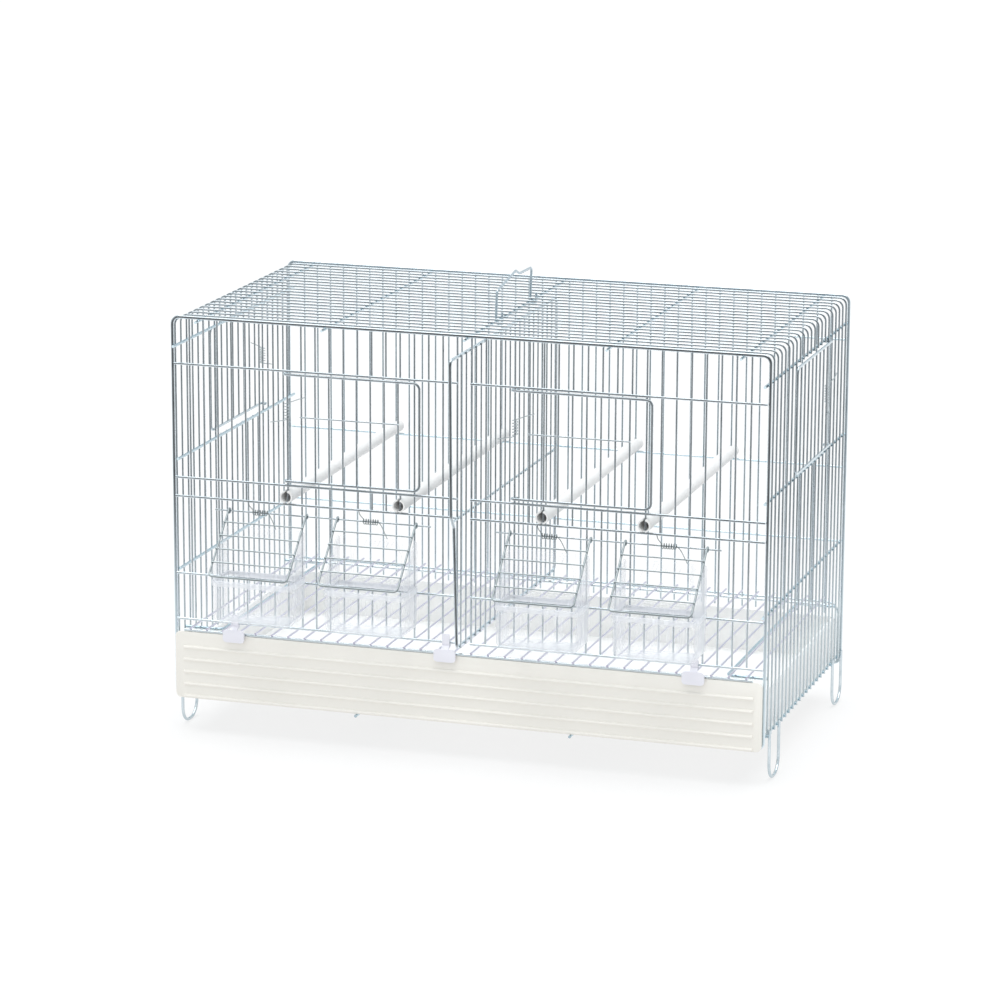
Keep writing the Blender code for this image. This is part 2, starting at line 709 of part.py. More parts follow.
def flap_springs():
    """A small torsion spring on each rod, one arm against the rail above and one on the flap."""
    radius = 0.0004
    mean = 0.0019
    rail_front = FRONT_Y - WIRE_R - 2 * RAIL_R + BITE - STEP_BACK
    proud = ROD_R + GAP + 2 * FLAP_R + 2 * RUNG_R + GAP + radius
    for name, middle in FEEDERS.items():
        x = middle + COIL_SHIFT[name]
        turns = coil((x, ROD_Y, ROD_Z), mean, 2 * COIL_HALF, 4.5, 0, 0)
        start, end = x - COIL_HALF, x + COIL_HALF
        up = [
            (start - 0.0035, rail_front - radius - GAP, ROD_Z + 0.0105),
            (start - 0.0025, rail_front - radius - GAP, ROD_Z + 0.007),
            (start - 0.0008, ROD_Y + mean - 0.0004, ROD_Z + 0.0022),
        ]
        down = [
            flap_point(end + 0.0012, 0.0015, 0.0028),
            flap_point(end + 0.0065, 0.0075, proud),
            flap_point(end + 0.0150, 0.0200, proud),
        ]
        spring_node(f"feeder_spring_{name}", up + turns + down, radius)


def feeder_cups():
    """Clear cups outside the ports: a deep trough, cheeks up to the flap, and a back with a head hole."""
    front = CUP_BACK - CUP_DEPTH
    for name, middle in FEEDERS.items():
        outline = [(CUP_BACK, CUP_BOTTOM)]
        outline += [
            (y, z) for _, y, z in arc((0, front + 0.006, CUP_BOTTOM + 0.006), 0.006, -90, -180, 3, (1, 2))
        ]
        outline += [(front, CUP_CHEEK), (CUP_BACK - 0.006, CUP_TOP), (CUP_BACK, CUP_TOP)]
        body = slab(outline, middle - CUP_HALF, middle + CUP_HALF)
        rim = box(
            (middle - CUP_HALF - CUP_RIM_PROUD, front - CUP_RIM_PROUD, CUP_RIM - CUP_RIM_TALL),
            (middle + CUP_HALF + CUP_RIM_PROUD, CUP_BACK, CUP_RIM),
        )
        inner = [
            (CUP_BACK - CUP_WALL, CUP_BOTTOM + CUP_WALL),
            (front + CUP_WALL + 0.004, CUP_BOTTOM + CUP_WALL),
            (front + CUP_WALL, CUP_BOTTOM + CUP_WALL + 0.004),
            (front + CUP_WALL, CUP_RIM - 0.0002),
            (front - 0.006, CUP_RIM - 0.0002),
            (front - 0.006, CUP_TOP + 0.01),
            (CUP_BACK - CUP_WALL, CUP_TOP + 0.01),
        ]
        hollow = slab(inner, middle - CUP_HALF + CUP_WALL, middle + CUP_HALF - CUP_WALL)
        tongue = box(
            (middle - 0.030, CUP_BACK - 0.001, FRONT_RAILS["port"] + RAIL_R + GAP),
            (middle + 0.030, FRONT_Y + 0.004, FRONT_RAILS["port"] + RAIL_R + GAP + 0.0018),
        )
        node(
            f"feeder_cup_{name}",
            body,
            CLEAR,
            joins=[rim, tongue],
            cuts=[hollow, head_hole(middle)],
        )


def head_hole(middle):
    """The hole in a cup's back with rounded upper corners, as a prism along Y."""
    corner_x = HEAD_HALF - HEAD_CORNER
    corner_z = HEAD_TOP - HEAD_CORNER
    rise = arc((middle + corner_x, 0, corner_z), HEAD_CORNER, 0, 90, 3, (0, 2))
    rise += arc((middle - corner_x, 0, corner_z), HEAD_CORNER, 90, 180, 3, (0, 2))
    outline = [(middle - HEAD_HALF, HEAD_LOW), (middle + HEAD_HALF, HEAD_LOW)]
    outline += [(x, z) for x, _, z in rise]
    low, high = CUP_BACK - 0.01, CUP_BACK + 0.01
    mesh = slab(outline, low, high)
    # The slab stands along X, so its outline's first axis goes to X and its thickness to Y
    mesh.transform(Matrix(((0, 1, 0, 0), (1, 0, 0, 0), (0, 0, 1, 0), (0, 0, 0, 1))))
    mesh.flip_normals()
    return mesh


def perches():
    """Hollow rods that rest on the front and back rails, slotted at both ends to sit on a wire."""
    start, end = FRONT_Y - PERCH_REACH, BACK_Y + PERCH_REACH
    rest = WIRE_R + RAIL_R
    slope = (PERCH_BACK_Z - PERCH_FRONT_Z) / (DEPTH + 2 * rest)
    middle = Vector((0, (FRONT_Y + BACK_Y) / 2, (PERCH_FRONT_Z + PERCH_BACK_Z) / 2))
    half = WIRE_R + GAP
    for name, index in PERCH_WIRES.items():
        x = front_wire_x(index)
        mesh = tube(start - middle.y, end - middle.y, PERCH_R, PERCH_BORE)
        mesh.transform(Matrix.Rotation(math.atan(slope), 4, "X"))
        mesh.transform(Matrix.Translation(middle + Vector((x, 0, 0))))
        slots = []
        for low, high in ((start - 0.001, FRONT_Y + half), (BACK_Y - half, end + 0.001)):
            slots.append(box((x - half, low, middle.z - 0.012), (x + half, high, middle.z + 0.012)))
        node(f"perch_{name}", mesh, WHITE, cuts=slots, smooth=True)


def divider():
    """The wire wall that slides in through the slot and stands proud of the front as its own grip."""
    jog_z = FRONT_RAILS["rod"] + 0.0008
    x = DIVIDER_X
    front = [
        (x, BACK_Y - 0.008, DIVIDER_TOP),
        (x, FRONT_Y - 0.031, DIVIDER_TOP),
        (x, FRONT_Y - 0.027, jog_z + 0.006),
        (x, FRONT_Y - 0.0185, jog_z - 0.006),
        (x, FRONT_Y - 0.0095, DIVIDER_BOTTOM),
        (x, BACK_Y - 0.008, DIVIDER_BOTTOM),
    ]
    loop = rounded(front, 0.005, steps=2, cyclic=True)
    thin = WIRE_R * 0.9
    upright_x = x + DIVIDER_R + thin - BITE
    pitch = (DEPTH - 0.012) / (DIVIDER_WIRES - 1)
    uprights = []
    for i in range(DIVIDER_WIRES):
        y = BACK_Y - 0.016 - i * pitch
        ends = (DIVIDER_BOTTOM - 0.001, DIVIDER_TOP + 0.001)
        uprights.append([(upright_x, y, z) for z in ends])
    middle_r = DIVIDER_R * 0.8
    middle_x = upright_x - thin - GAP - middle_r
    middle = [(middle_x, FRONT_Y - 0.0215, jog_z), (middle_x, BACK_Y - 0.0085, jog_z)]
    node(
        "divider",
        wires([loop], DIVIDER_R, cyclic=True),
        ZINC,
        joins=[wires(uprights, thin), wires([middle], middle_r)],
    )


def floor_grate():
    """The wire floor above the tray: it slides out forwards over the tray's rim."""
    top = GRATE_Z + GRATE_END_R + WIRE_R - BITE
    front = PANEL_FRONT - 0.0003
    long_wires = []
    for i in range(GRATE_WIRES):
        x = (i - (GRATE_WIRES - 1) / 2) * GRATE_PITCH
        long_wires.append([(x, front, top), (x, BACK_Y - 0.008, top)])
    y = PANEL_FRONT + 0.0012
    ends = [[(-GRATE_HALF, y, GRATE_Z), (GRATE_HALF, y, GRATE_Z)]]
    y = hood_wire_y(HOOD_WIRES - 2) - 0.008
    span = (GRATE_WIRES - 4) * GRATE_PITCH / 2
    near, far = GRATE_HALF - span, GRATE_HALF + span
    ends.append(tied((-GRATE_HALF, y, GRATE_Z), (GRATE_HALF, y, GRATE_Z), near, far, (0, 0, -STEP_BACK)))
    node("floor_grate", wires(long_wires, WIRE_R), ZINC_THIN, joins=[wires(ends, GRATE_END_R)])


def tray():
    """The plastic drawer: a shallow box behind a taller ribbed front."""
    back_of_panel = PANEL_FRONT + PANEL_THICK
    body = box(
        (-TRAY_HALF, back_of_panel - 0.0005, TRAY_BOTTOM),
        (TRAY_HALF, TRAY_BACK, TRAY_TOP),
        bevel=0.004,
        edges=lambda e: all(v.co.z < TRAY_BOTTOM + 1e-5 for v in e.verts) and any(
            v.co.y > 0 for v in e.verts
        ),
    )
    hollow = box(
        (-TRAY_HALF + TRAY_WALL, back_of_panel + 0.0005, TRAY_BOTTOM + TRAY_WALL),
        (TRAY_HALF - TRAY_WALL, TRAY_BACK - TRAY_WALL, TRAY_TOP + 0.05),
    )
    panel = box(
        (-PANEL_HALF, PANEL_FRONT, PANEL_BOTTOM),
        (PANEL_HALF, back_of_panel, PANEL_TOP),
        bevel=PANEL_CORNER,
        edges=lambda e: abs(e.verts[0].co.y - e.verts[1].co.y) > 1e-4,
        segments=3,
    )
    ribs = []
    for i in range(RIBS):
        z = RIB_FIRST - i * RIB_STEP
        ribs.append([(-RIB_HALF, PANEL_FRONT, z), (RIB_HALF, PANEL_FRONT, z)])
    node("tray", body, IVORY, joins=[panel, wires(ribs, RIB_R, 1)], cuts=[hollow])


def tray_clips():
    """Plastic hooks on the tray's front that snap over the base rail; the mouth opens backwards."""
    rail_y = FRONT_Y - WIRE_R - RAIL_R + BITE
    rail_z = FRONT_RAILS["base"]
    inner, outer = RAIL_R + GAP, RAIL_R + GAP + 0.0018
    upper, lower = 82, 296
    outside = [(y, z) for _, y, z in arc((0, rail_y, rail_z), outer, upper, 225, 6, (1, 2))]
    inside = [(y, z) for _, y, z in arc((0, rail_y, rail_z), inner, lower, upper, 8, (1, 2))]
    plate_back = PANEL_FRONT - 0.0024
    plate_front = plate_back - 0.0018
    heel = math.radians(lower)
    neck = [
        (plate_front, rail_z - 0.006),
        (plate_front, 0.0985),
        (plate_back, 0.0985),
        (plate_back, rail_z - 0.0058),
        (rail_y + outer * math.cos(heel), rail_z + outer * math.sin(heel) - 0.001),
    ]
    outline = outside + neck + inside
    for name, x in CLIPS_X.items():
        hook = slab(outline, x - 0.0035, x + 0.0035)
        lip = box(
            (x - 0.0107, plate_front, 0.0942),
            (x + 0.0107, plate_back, 0.1065),
            bevel=0.003,
            edges=lambda e: abs(e.verts[0].co.y - e.verts[1].co.y) > 1e-4,
            segments=2,
        )
        tab = box(
            (x - 0.0035, rail_y - outer + 0.0002, rail_z + 0.001),
            (x + 0.0035, rail_y - inner - 0.0003, rail_z + 0.0085),
        )
        node(f"tray_clip_{name}", hook, WHITE, joins=[lip, tab])


def carry_handle():
    """A wire bail that stands on the roof, its feet hooked under the middle top wire."""
    hook_r = CROSS_R + HANDLE_PLAY + HANDLE_R
    wire_z = CROSS_TOP - STEP_BACK
    plane_x = MIDDLE_WIRE_X - hook_r
    hooks = []
    for leg in HANDLE_LEGS:
        y = FRONT_Y + leg
        hook = [(MIDDLE_WIRE_X + hook_r, y, wire_z + 0.008)]
        hook += arc((MIDDLE_WIRE_X, y, wire_z), hook_r, 0, -180, 4, (0, 2))
        hooks.append(hook)
    grip = [(plane_x, FRONT_Y + y, z) for y, z in HANDLE_GRIP]
    bar = rounded([hooks[0][-1]] + grip + [hooks[1][-1]], 0.004, steps=2)
    mesh = wires([hooks[0][:-1] + bar + hooks[1][-2::-1]], HANDLE_R, 1)
    middle_y = FRONT_Y + (HANDLE_LEGS[0] + HANDLE_LEGS[1]) / 2
    node("carry_handle", mesh, ZINC, origin=(MIDDLE_WIRE_X, middle_y, wire_z), smooth=True)


clear_scene()
PARTS = new_collection("divided bird cage")
HELPERS = new_collection("joiners and cutters")
HELPERS.hide_render = True

front_frame()
back_frame()
front_grilles()
back_grille()
hood()
feet()
base_ties()
grate_runners()
feeder_rods()
front_doors()
side_doors()
door_springs()
feeder_flaps()
flap_springs()
feeder_cups()
perches()
divider()
floor_grate()
tray()
tray_clips()
carry_handle()
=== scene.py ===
"""The divided bird cage: round wires, moulded plastics, floor, light and the photograph's camera.

Metres, the same frame as the solids. A wire is a circle carried along a path of points.
"""

import json
import math

import bmesh
import bpy
import numpy as np
from mathutils import Matrix


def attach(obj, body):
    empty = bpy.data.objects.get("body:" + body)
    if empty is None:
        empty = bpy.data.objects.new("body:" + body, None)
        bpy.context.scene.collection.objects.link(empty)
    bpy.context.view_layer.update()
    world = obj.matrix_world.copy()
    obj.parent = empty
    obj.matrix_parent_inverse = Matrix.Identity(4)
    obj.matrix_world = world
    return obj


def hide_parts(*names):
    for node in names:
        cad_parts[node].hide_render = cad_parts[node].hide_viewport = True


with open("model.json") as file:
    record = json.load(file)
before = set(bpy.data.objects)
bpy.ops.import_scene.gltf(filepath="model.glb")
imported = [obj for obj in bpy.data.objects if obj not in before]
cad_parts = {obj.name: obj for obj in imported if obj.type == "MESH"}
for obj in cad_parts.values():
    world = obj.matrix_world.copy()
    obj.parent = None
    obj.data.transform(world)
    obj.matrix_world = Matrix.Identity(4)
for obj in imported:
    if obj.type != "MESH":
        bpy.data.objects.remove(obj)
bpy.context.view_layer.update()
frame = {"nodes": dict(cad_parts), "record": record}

# Clearance between pieces and the bite of a weld
GAP = 0.0003
BITE = 0.0003

# Wire radii
FRAME_R = 0.0016
RAIL_R = 0.0012
WIRE_R = 0.0010
CROSS_R = 0.00125
SIDE_R = 0.00145
BRACKET_R = 0.0014

# The wire body
PITCH = 0.014
WIRES = 40
HALF = WIRES // 2
DEPTH = 0.310
FRONT_REACH = 0.05872
BACK_REACH = 0.0062
FRONT_Y = (FRONT_REACH - BACK_REACH - DEPTH) / 2
BACK_Y = FRONT_Y + DEPTH
HOOD_X = 0.289
HOOD_TOP = 0.404
HOOD_BOTTOM = 0.042
HOOD_WIRES = 22
BEND_R = 0.007
CROSS_TOP = HOOD_TOP - WIRE_R - CROSS_R + BITE
FRAME_TOP = CROSS_TOP + CROSS_R + FRAME_R + GAP
FRAME_BOTTOM = 0.0358
FRONT_RAILS = {"top": 0.3608, "middle": 0.2508, "rod": 0.2325, "port": 0.157, "base": 0.112}
BACK_RAILS = (0.3615, 0.2344, 0.1595)
BACK_LOW_RAIL = 0.0965
SIDE_RAILS = {"upper": 0.3777, "middle": 0.2673, "lower": 0.160, "base": 0.043}
MIDDLE_WIRE_X = 0.0015
TOP_WIRES_X = (-0.264, -0.138, MIDDLE_WIRE_X, 0.138, 0.264)
SIDE_RAIL_X = HOOD_X - WIRE_R - SIDE_R + BITE
FRAME_X = SIDE_RAIL_X + SIDE_R + FRAME_R + GAP
SLOT_END = 0.0065

# Doors
FRONT_DOORS = {"left": (7, 16), "right": (23, 32)}
DOOR_R = 0.0013
DOOR_LAP = 0.0056
DOOR_BEND = 0.006
DOOR_BOTTOM = 0.255
DOOR_TOP = 0.3576
DOOR_WIRES = 8
DOOR_MIDDLE = 0.3177
DOOR_THIN_R = 0.0007
DOOR_FIRST = 0.015
DOOR_LAST = 0.0153
HINGE_ARC = 250
SIDE_DOOR_WIRES = (16, 7)
SIDE_DOOR_BOTTOM = 0.274
SIDE_DOOR_TOP = 0.375
DOOR_COIL_WIRE = 0.00045
DOOR_COIL_R = 0.0024
FRONT_COIL_Z = 0.322
SIDE_COIL_Z = 0.3235

# Feeders
FEEDERS = {"1": -0.196, "2": -0.084, "3": 0.084, "4": 0.196}
PORT_WIRES = ((3, 8), (11, 16), (23, 28), (31, 36))
ROD_Z = 0.222
ROD_R = 0.0008
ROD_Y = FRONT_Y - WIRE_R - GAP - ROD_R
ROD_SPANS = {"left": (2, 17), "right": (22, 37)}
FLAP_ANGLE = math.radians(46)
FLAP_LENGTH = 0.0750
FLAP_HALF = 0.039
FLAP_R = 0.0010
RUNG_R = 0.00075
RUNG_STEP = 0.015
FLAP_SHIFT = {"1": 0.0014, "2": -0.0016, "3": 0.0005, "4": -0.0003}
COIL_SHIFT = {"1": -0.0064, "2": -0.0076, "3": -0.0004, "4": 0.0022}
COIL_HALF = 0.0076
COIL_WIRE = 0.0004
COIL_R = 0.0025
COIL_CURLS = 6.5
CUP_HALF = 0.0393
CUP_WALL = 0.0018
CUP_BACK = FRONT_Y - 0.0040
CUP_FRONT = CUP_BACK - 0.0416
CUP_BOTTOM = 0.1228
CUP_RIM = 0.164
CUP_RIM_TALL = 0.0055
CUP_RIM_PROUD = 0.0012
CUP_CHEEK = 0.175
CUP_TOP = 0.208
CUP_FOOT_BEND = 0.006
CUP_FRONT_BEND = 0.0055
CUP_BACK_BEND = 0.0025
HEAD_HALF = 0.0238
HEAD_LOW = 0.168
HEAD_TOP = 0.198

# Tray, grate, divider, perches, handle and feet
PANEL_TOP = 0.100
PANEL_FRONT = FRONT_Y - 0.005
GRATE_WIRES = 34
GRATE_PITCH = 0.0166
GRATE_END_R = 0.0013
GRATE_Z = PANEL_TOP + GAP + GRATE_END_R
GRATE_HALF = 0.280
DIVIDER_R = 0.0016
DIVIDER_X = -0.0041
DIVIDER_BOTTOM = 0.1093
DIVIDER_TOP = 0.387
DIVIDER_WIRES = 21
DIVIDER_REACH = {"top": 0.031, "jog_top": 0.027, "jog_low": 0.0185, "bottom": 0.0095}
DIVIDER_INSET = 0.008
DIVIDER_JOG = 0.006
PERCH_WIRES = {"1": 7, "2": 15, "3": 25, "4": 32}
PERCH_R = 0.0062
PERCH_BORE = 0.0048
PERCH_FRONT_Z = FRONT_RAILS["rod"] + RAIL_R + GAP + PERCH_R
PERCH_BACK_Z = BACK_RAILS[1] + RAIL_R + GAP + PERCH_R
PERCH_REACH = 0.006
HANDLE_R = 0.0012
HANDLE_PLAY = 0.0007
HANDLE_LEGS = (0.0984, 0.2064)
HANDLE_GRIP = ((0.1016, 0.4290), (0.160, 0.4386), (0.172, 0.4339), (0.2107, 0.4333))
FOOT_R = 0.00145
FOOT_HALF = 0.018
FOOT_TOP = 0.050
FOOT_BEND = 0.0155
TIE_X = 0.106
RUNNER_X = 0.250
UNDER = 0.0015
FOOT_Y = (0.035, 0.2875)


def front_wire_x(index):
    return (index - (WIRES - 1) / 2) * PITCH


def hood_wire_y(index):
    return FRONT_Y + 0.004 + index * 0.01425


# Shapes

def arc(centre, radius, start, end, steps, plane):
    """centre + radius (cos t, sin t) in the plane of two axes, t evenly from start to end in degrees."""
    t = np.radians(np.linspace(start, end, steps + 1))
    points = np.tile(np.asarray(centre, float), (steps + 1, 1))
    points[:, plane[0]] += radius * np.cos(t)
    points[:, plane[1]] += radius * np.sin(t)
    return points


def bent(corners, radius, steps=8, closed=False):
    """A polyline whose corners are arcs of the radius, each a slerp between its two tangent points."""
    corners = [np.asarray(c, float) for c in corners]
    count = len(corners)
    made = []
    for i, corner in enumerate(corners):
        if not closed and i in (0, count - 1):
            made.append(corner[None])
            continue
        before = corners[i - 1] - corner
        after = corners[(i + 1) % count] - corner
        before, after = before / np.linalg.norm(before), after / np.linalg.norm(after)
        half = math.acos(float(np.clip(before @ after, -1, 1))) / 2
        if half > math.radians(89):
            made.append(corner[None])
            continue
        halfway = (before + after) / np.linalg.norm(before + after)
        middle = corner + halfway * radius / math.sin(half)
        first = corner + before * radius / math.tan(half) - middle
        last = corner + after * radius / math.tan(half) - middle
        sweep = math.pi - 2 * half
        t = np.linspace(0, 1, steps + 1)[:, None]
        made.append(middle + (first * np.sin((1 - t) * sweep) + last * np.sin(t * sweep)) / math.sin(sweep))
    return np.concatenate(made)


def helix(centre, radius, length, curls, axis, start, per_curl=18):
    """centre + radius (cos t, sin t) round the axis, climbing evenly by the length over the curls."""
    t = np.linspace(0, 1, round(curls * per_curl) + 1)
    angle = math.radians(start) + 2 * math.pi * curls * t
    first, second = [(1, 2), (2, 0), (0, 1)][axis]
    points = np.tile(np.asarray(centre, float), (len(t), 1))
    points[:, axis] += length * (t - 0.5)
    points[:, first] += radius * np.cos(angle)
    points[:, second] += radius * np.sin(angle)
    return points


def smooth_line(points, steps=6):
    """A Catmull-Rom curve through the points: each span is a cubic of its four nearest points."""
    p = np.asarray(points, float)
    p = np.concatenate([2 * p[:1] - p[1:2], p, 2 * p[-1:] - p[-2:-1]])
    t = (np.arange(steps) / steps)[None, :, None]
    a, b, c, d = (p[i:len(p) - 3 + i, None] for i in range(4))
    curve = 0.5 * (2 * b + (c - a) * t + (2 * a - 5 * b + 4 * c - d) * t ** 2
                   + (3 * b - a - 3 * c + d) * t ** 3)
    return np.concatenate([curve.reshape(-1, 3), p[-2:-1]])


def tube(path, radius, sides=10, closed=False, lean=(0.31, 0.47, 0.83)):
    """A circle carried along the path: point + radius (side cos a + lift sin a), with flat ends.

    side is lean x tangent and lift is tangent x side, both of unit length. Gives points and faces.
    """
    path = np.asarray(path, float)
    if closed:
        along = np.roll(path, -1, axis=0) - np.roll(path, 1, axis=0)
    else:
        along = np.gradient(path, axis=0)
    along /= np.linalg.norm(along, axis=1)[:, None]
    side = np.cross(np.asarray(lean, float), along)
    side /= np.linalg.norm(side, axis=1)[:, None]
    lift = np.cross(along, side)
    a = 2 * np.pi * np.arange(sides) / sides
    ring = side[:, None] * np.cos(a)[None, :, None] + lift[:, None] * np.sin(a)[None, :, None]
    points = (path[:, None] + radius * ring).reshape(-1, 3)
    count = len(path)
    rows = np.arange(count if closed else count - 1)[:, None]
    columns = np.arange(sides)[None]
    following = (rows + 1) % count
    turned = (columns + 1) % sides
    faces = np.stack([rows * sides + columns, rows * sides + turned, following * sides + turned,
                      following * sides + columns], axis=-1).reshape(-1, 4).tolist()
    if not closed:
        faces.append(list(range(sides))[::-1])
        faces.append(list(range((count - 1) * sides, count * sides)))
    return points, faces


def straight(start, end, radius, sides=10):
    return tube([start, end], radius, sides)


def gathered(surfaces):
    """Several surfaces as one: their points in a row, their faces counted on."""
    points, faces, offset = [], [], 0
    for some_points, some_faces in surfaces:
        points.append(some_points)
        faces += [[v + offset for v in face] for face in some_faces]
        offset += len(some_points)
    return np.concatenate(points), faces


def object_of(name, surfaces, finish, sharp=40):
    points, faces = gathered(surfaces)
    mesh = bpy.data.meshes.new(name)
    mesh.from_pydata(points.tolist(), [], faces)
    mesh.validate()
    mesh.shade_smooth()
    mesh.set_sharp_from_angle(angle=math.radians(sharp))
    obj = bpy.data.objects.new(name, mesh)
    bpy.context.scene.collection.objects.link(obj)
    mesh.materials.append(finish)
    return obj


BODY_OF = {n: body for body, nodes in frame["record"]["behaviour"]["bodies"].items() for n in nodes}


def stands_for(obj, node):
    """The piece moves with the node's body and hides the node."""
    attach(obj, BODY_OF[node])
    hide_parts(node)
    return obj


def wire_piece(node, surfaces, finish, others=(), other_finish=None):
    """The node's wires in round section; the others are wires of the same piece in a second finish."""
    obj = object_of("round_" + node, surfaces + list(others), finish)
    if others:
        obj.data.materials.append(other_finish)
        first = sum(len(faces) for _, faces in surfaces)
        obj.data.polygons.foreach_set(
            "material_index", (np.arange(len(obj.data.polygons)) >= first).astype(np.int32))
    return stands_for(obj, node)


def moulded_piece(node, finish, width, segments=3, limit=35):
    """A copy of the node's solid with its loose triangles merged and its edges rounded."""
    mesh = frame["nodes"][node].data.copy()
    work = bmesh.new()
    work.from_mesh(mesh)
    bmesh.ops.remove_doubles(work, verts=work.verts, dist=1e-6)
    bmesh.ops.dissolve_limit(work, angle_limit=math.radians(1), verts=work.verts, edges=work.edges)
    bmesh.ops.recalc_face_normals(work, faces=work.faces)
    work.to_mesh(mesh)
    work.free()
    mesh.materials.clear()
    mesh.materials.append(finish)
    mesh.shade_smooth()
    obj = bpy.data.objects.new("moulded_" + node, mesh)
    bpy.context.scene.collection.objects.link(obj)
    soft = obj.modifiers.new("rounded edges", "BEVEL")
    soft.width = width
    soft.segments = segments
    soft.limit_method = "ANGLE"
    soft.angle_limit = math.radians(limit)
    soft.use_clamp_overlap = True
    soft.harden_normals = True
    return stands_for(obj, node)


# Finishes

class Value:
    """A socket whose arithmetic adds Math nodes."""

    def __init__(self, shader, socket):
        self.shader = shader
        self.socket = socket

    def maths(self, operation, *others):
        inputs = {i: v for i, v in enumerate((self, *others))}
        return self.shader.add("ShaderNodeMath", {"operation": operation}, inputs)

    def __add__(self, other):
        return self.maths("ADD", other)

    def __mul__(self, other):
        return self.maths("MULTIPLY", other)

    def __sub__(self, other):
        return self.maths("SUBTRACT", other)

    def __rsub__(self, other):
        return (self * -1.0) + other

    def __pow__(self, other):
        return self.maths("POWER", other)

    __radd__ = __add__
    __rmul__ = __mul__

    def clamped(self):
        return self.maths("MINIMUM", 1.0).maths("MAXIMUM", 0.0)


class Finish:
    """A material being put together. add() makes any node from its settings and its sockets' values."""

    def __init__(self, name):
        self.material = bpy.data.materials.new(name)
        self.material.use_nodes = True
        self.tree = self.material.node_tree
        self.surface = self.tree.nodes["Principled BSDF"]

    def add(self, kind, settings=None, inputs=None, output=0):
        made = self.tree.nodes.new(kind)
        for key, value in (settings or {}).items():
            setattr(made, key, value)
        self.feed(made, inputs or {})
        return Value(self, made.outputs[output])

    def feed(self, made, inputs):
        for key, value in inputs.items():
            if isinstance(value, Value):
                self.tree.links.new(value.socket, made.inputs[key])
            else:
                made.inputs[key].default_value = value

    def place(self, stretch=(1, 1, 1)):
        where = self.add("ShaderNodeTexCoord", output="Object")
        return self.add("ShaderNodeMapping", {}, {"Vector": where, "Scale": stretch})

    def noise(self, scale, detail=3.0, stretch=(1, 1, 1), roughness=0.55):
        return self.add("ShaderNodeTexNoise", {}, {
            "Vector": self.place(stretch), "Scale": scale, "Detail": detail, "Roughness": roughness})

    def mixed(self, factor, first, second):
        """Colour between first and second by the factor; each is three numbers or another colour."""
        made = self.tree.nodes.new("ShaderNodeMix")
        made.data_type = "RGBA"
        made.inputs["Factor"].default_value = 0.0
        self.feed(made, {"Factor": factor})
        for key, colour in (("A", first), ("B", second)):
            socket = [s for s in made.inputs if s.name == key and s.type == "RGBA"][0]
            if isinstance(colour, Value):
                self.tree.links.new(colour.socket, socket)
            else:
                socket.default_value = (*colour, 1)
        return Value(self, [s for s in made.outputs if s.type == "RGBA"][0])

    def bumped(self, height, strength, distance):
        return self.add("ShaderNodeBump", {}, {"Height": height, "Strength": strength, "Distance": distance})

    def done(self, **inputs):
        self.feed(self.surface, {k.replace("_", " "): v for k, v in inputs.items()})
        return self.material


def zinc(name, bright, dull, roughness=0.3, rim=(0.88, 0.96, 1.0), low=None):
    """Zinc plating: cloudy changes of brightness, fine drawing lines, a little pitting, and a painted bluish
    reflection in the rim colour that grows where the wire turns away. low is a paler tone painted near the
    floor, a painted reflection of the pale floor."""
    f = Finish(name)
    cloud = f.noise(45.0, 4.0)
    fine = f.noise(900.0, 2.0)
    tone = ((cloud - 0.5) * 1.8 + 0.5 + (fine - 0.5) * 0.5).clamped()
    turned = f.add("ShaderNodeLayerWeight", {}, {"Blend": 0.5}, "Facing")
    core = f.mixed(tone, dull, bright)
    # Painted floor reflection: below 0.24 m the colour pales towards the low tone.
    if low:
        height = f.add("ShaderNodeSeparateXYZ", {}, {"Vector": f.place()}, "Z")
        core = f.mixed(((0.24 - height) * 6.5).clamped(), core, low)
    return f.done(
        # Painted reflection: the base colour turns to the pale rim colour where the wire turns away from
        # view.
        Base_Color=f.mixed(((turned - 0.08) * 2.2).clamped(), core, rim),
        Metallic=1.0,
        Roughness=(fine - 0.5) * 0.18 + (cloud - 0.5) * 0.12 + roughness,
        Normal=f.bumped(fine + cloud * 0.4, 0.12, 0.0001),
    )


def moulded(name, bright, dull, roughness, coat=0.0, behind=None):
    """Moulded plastic: almost even colour, a faint flow mottle and a fine eggshell grain. behind is a
    whiter tone painted behind the tray's front panel, painted light that lifts the shade inside the tray."""
    f = Finish(name)
    flow = f.noise(14.0, 3.0, (1, 1, 3))
    grain = f.noise(1600.0, 2.0)
    colour = f.mixed((flow * 1.4 - 0.2).clamped(), dull, bright)
    if behind:
        # Painted light: past the front panel the colour turns to the whiter behind tone, lifting the shade
        # inside the tray.
        depth = f.add("ShaderNodeSeparateXYZ", {}, {"Vector": f.place()}, "Y")
        colour = f.mixed(((depth - (PANEL_FRONT + 0.003)) * 500.0).clamped(), colour, behind)
    return f.done(
        Base_Color=colour,
        Roughness=(grain - 0.5) * 0.12 + (flow - 0.5) * 0.08 + roughness,
        Normal=f.bumped(grain, 0.05, 0.00008),
        Coat_Weight=coat,
    )


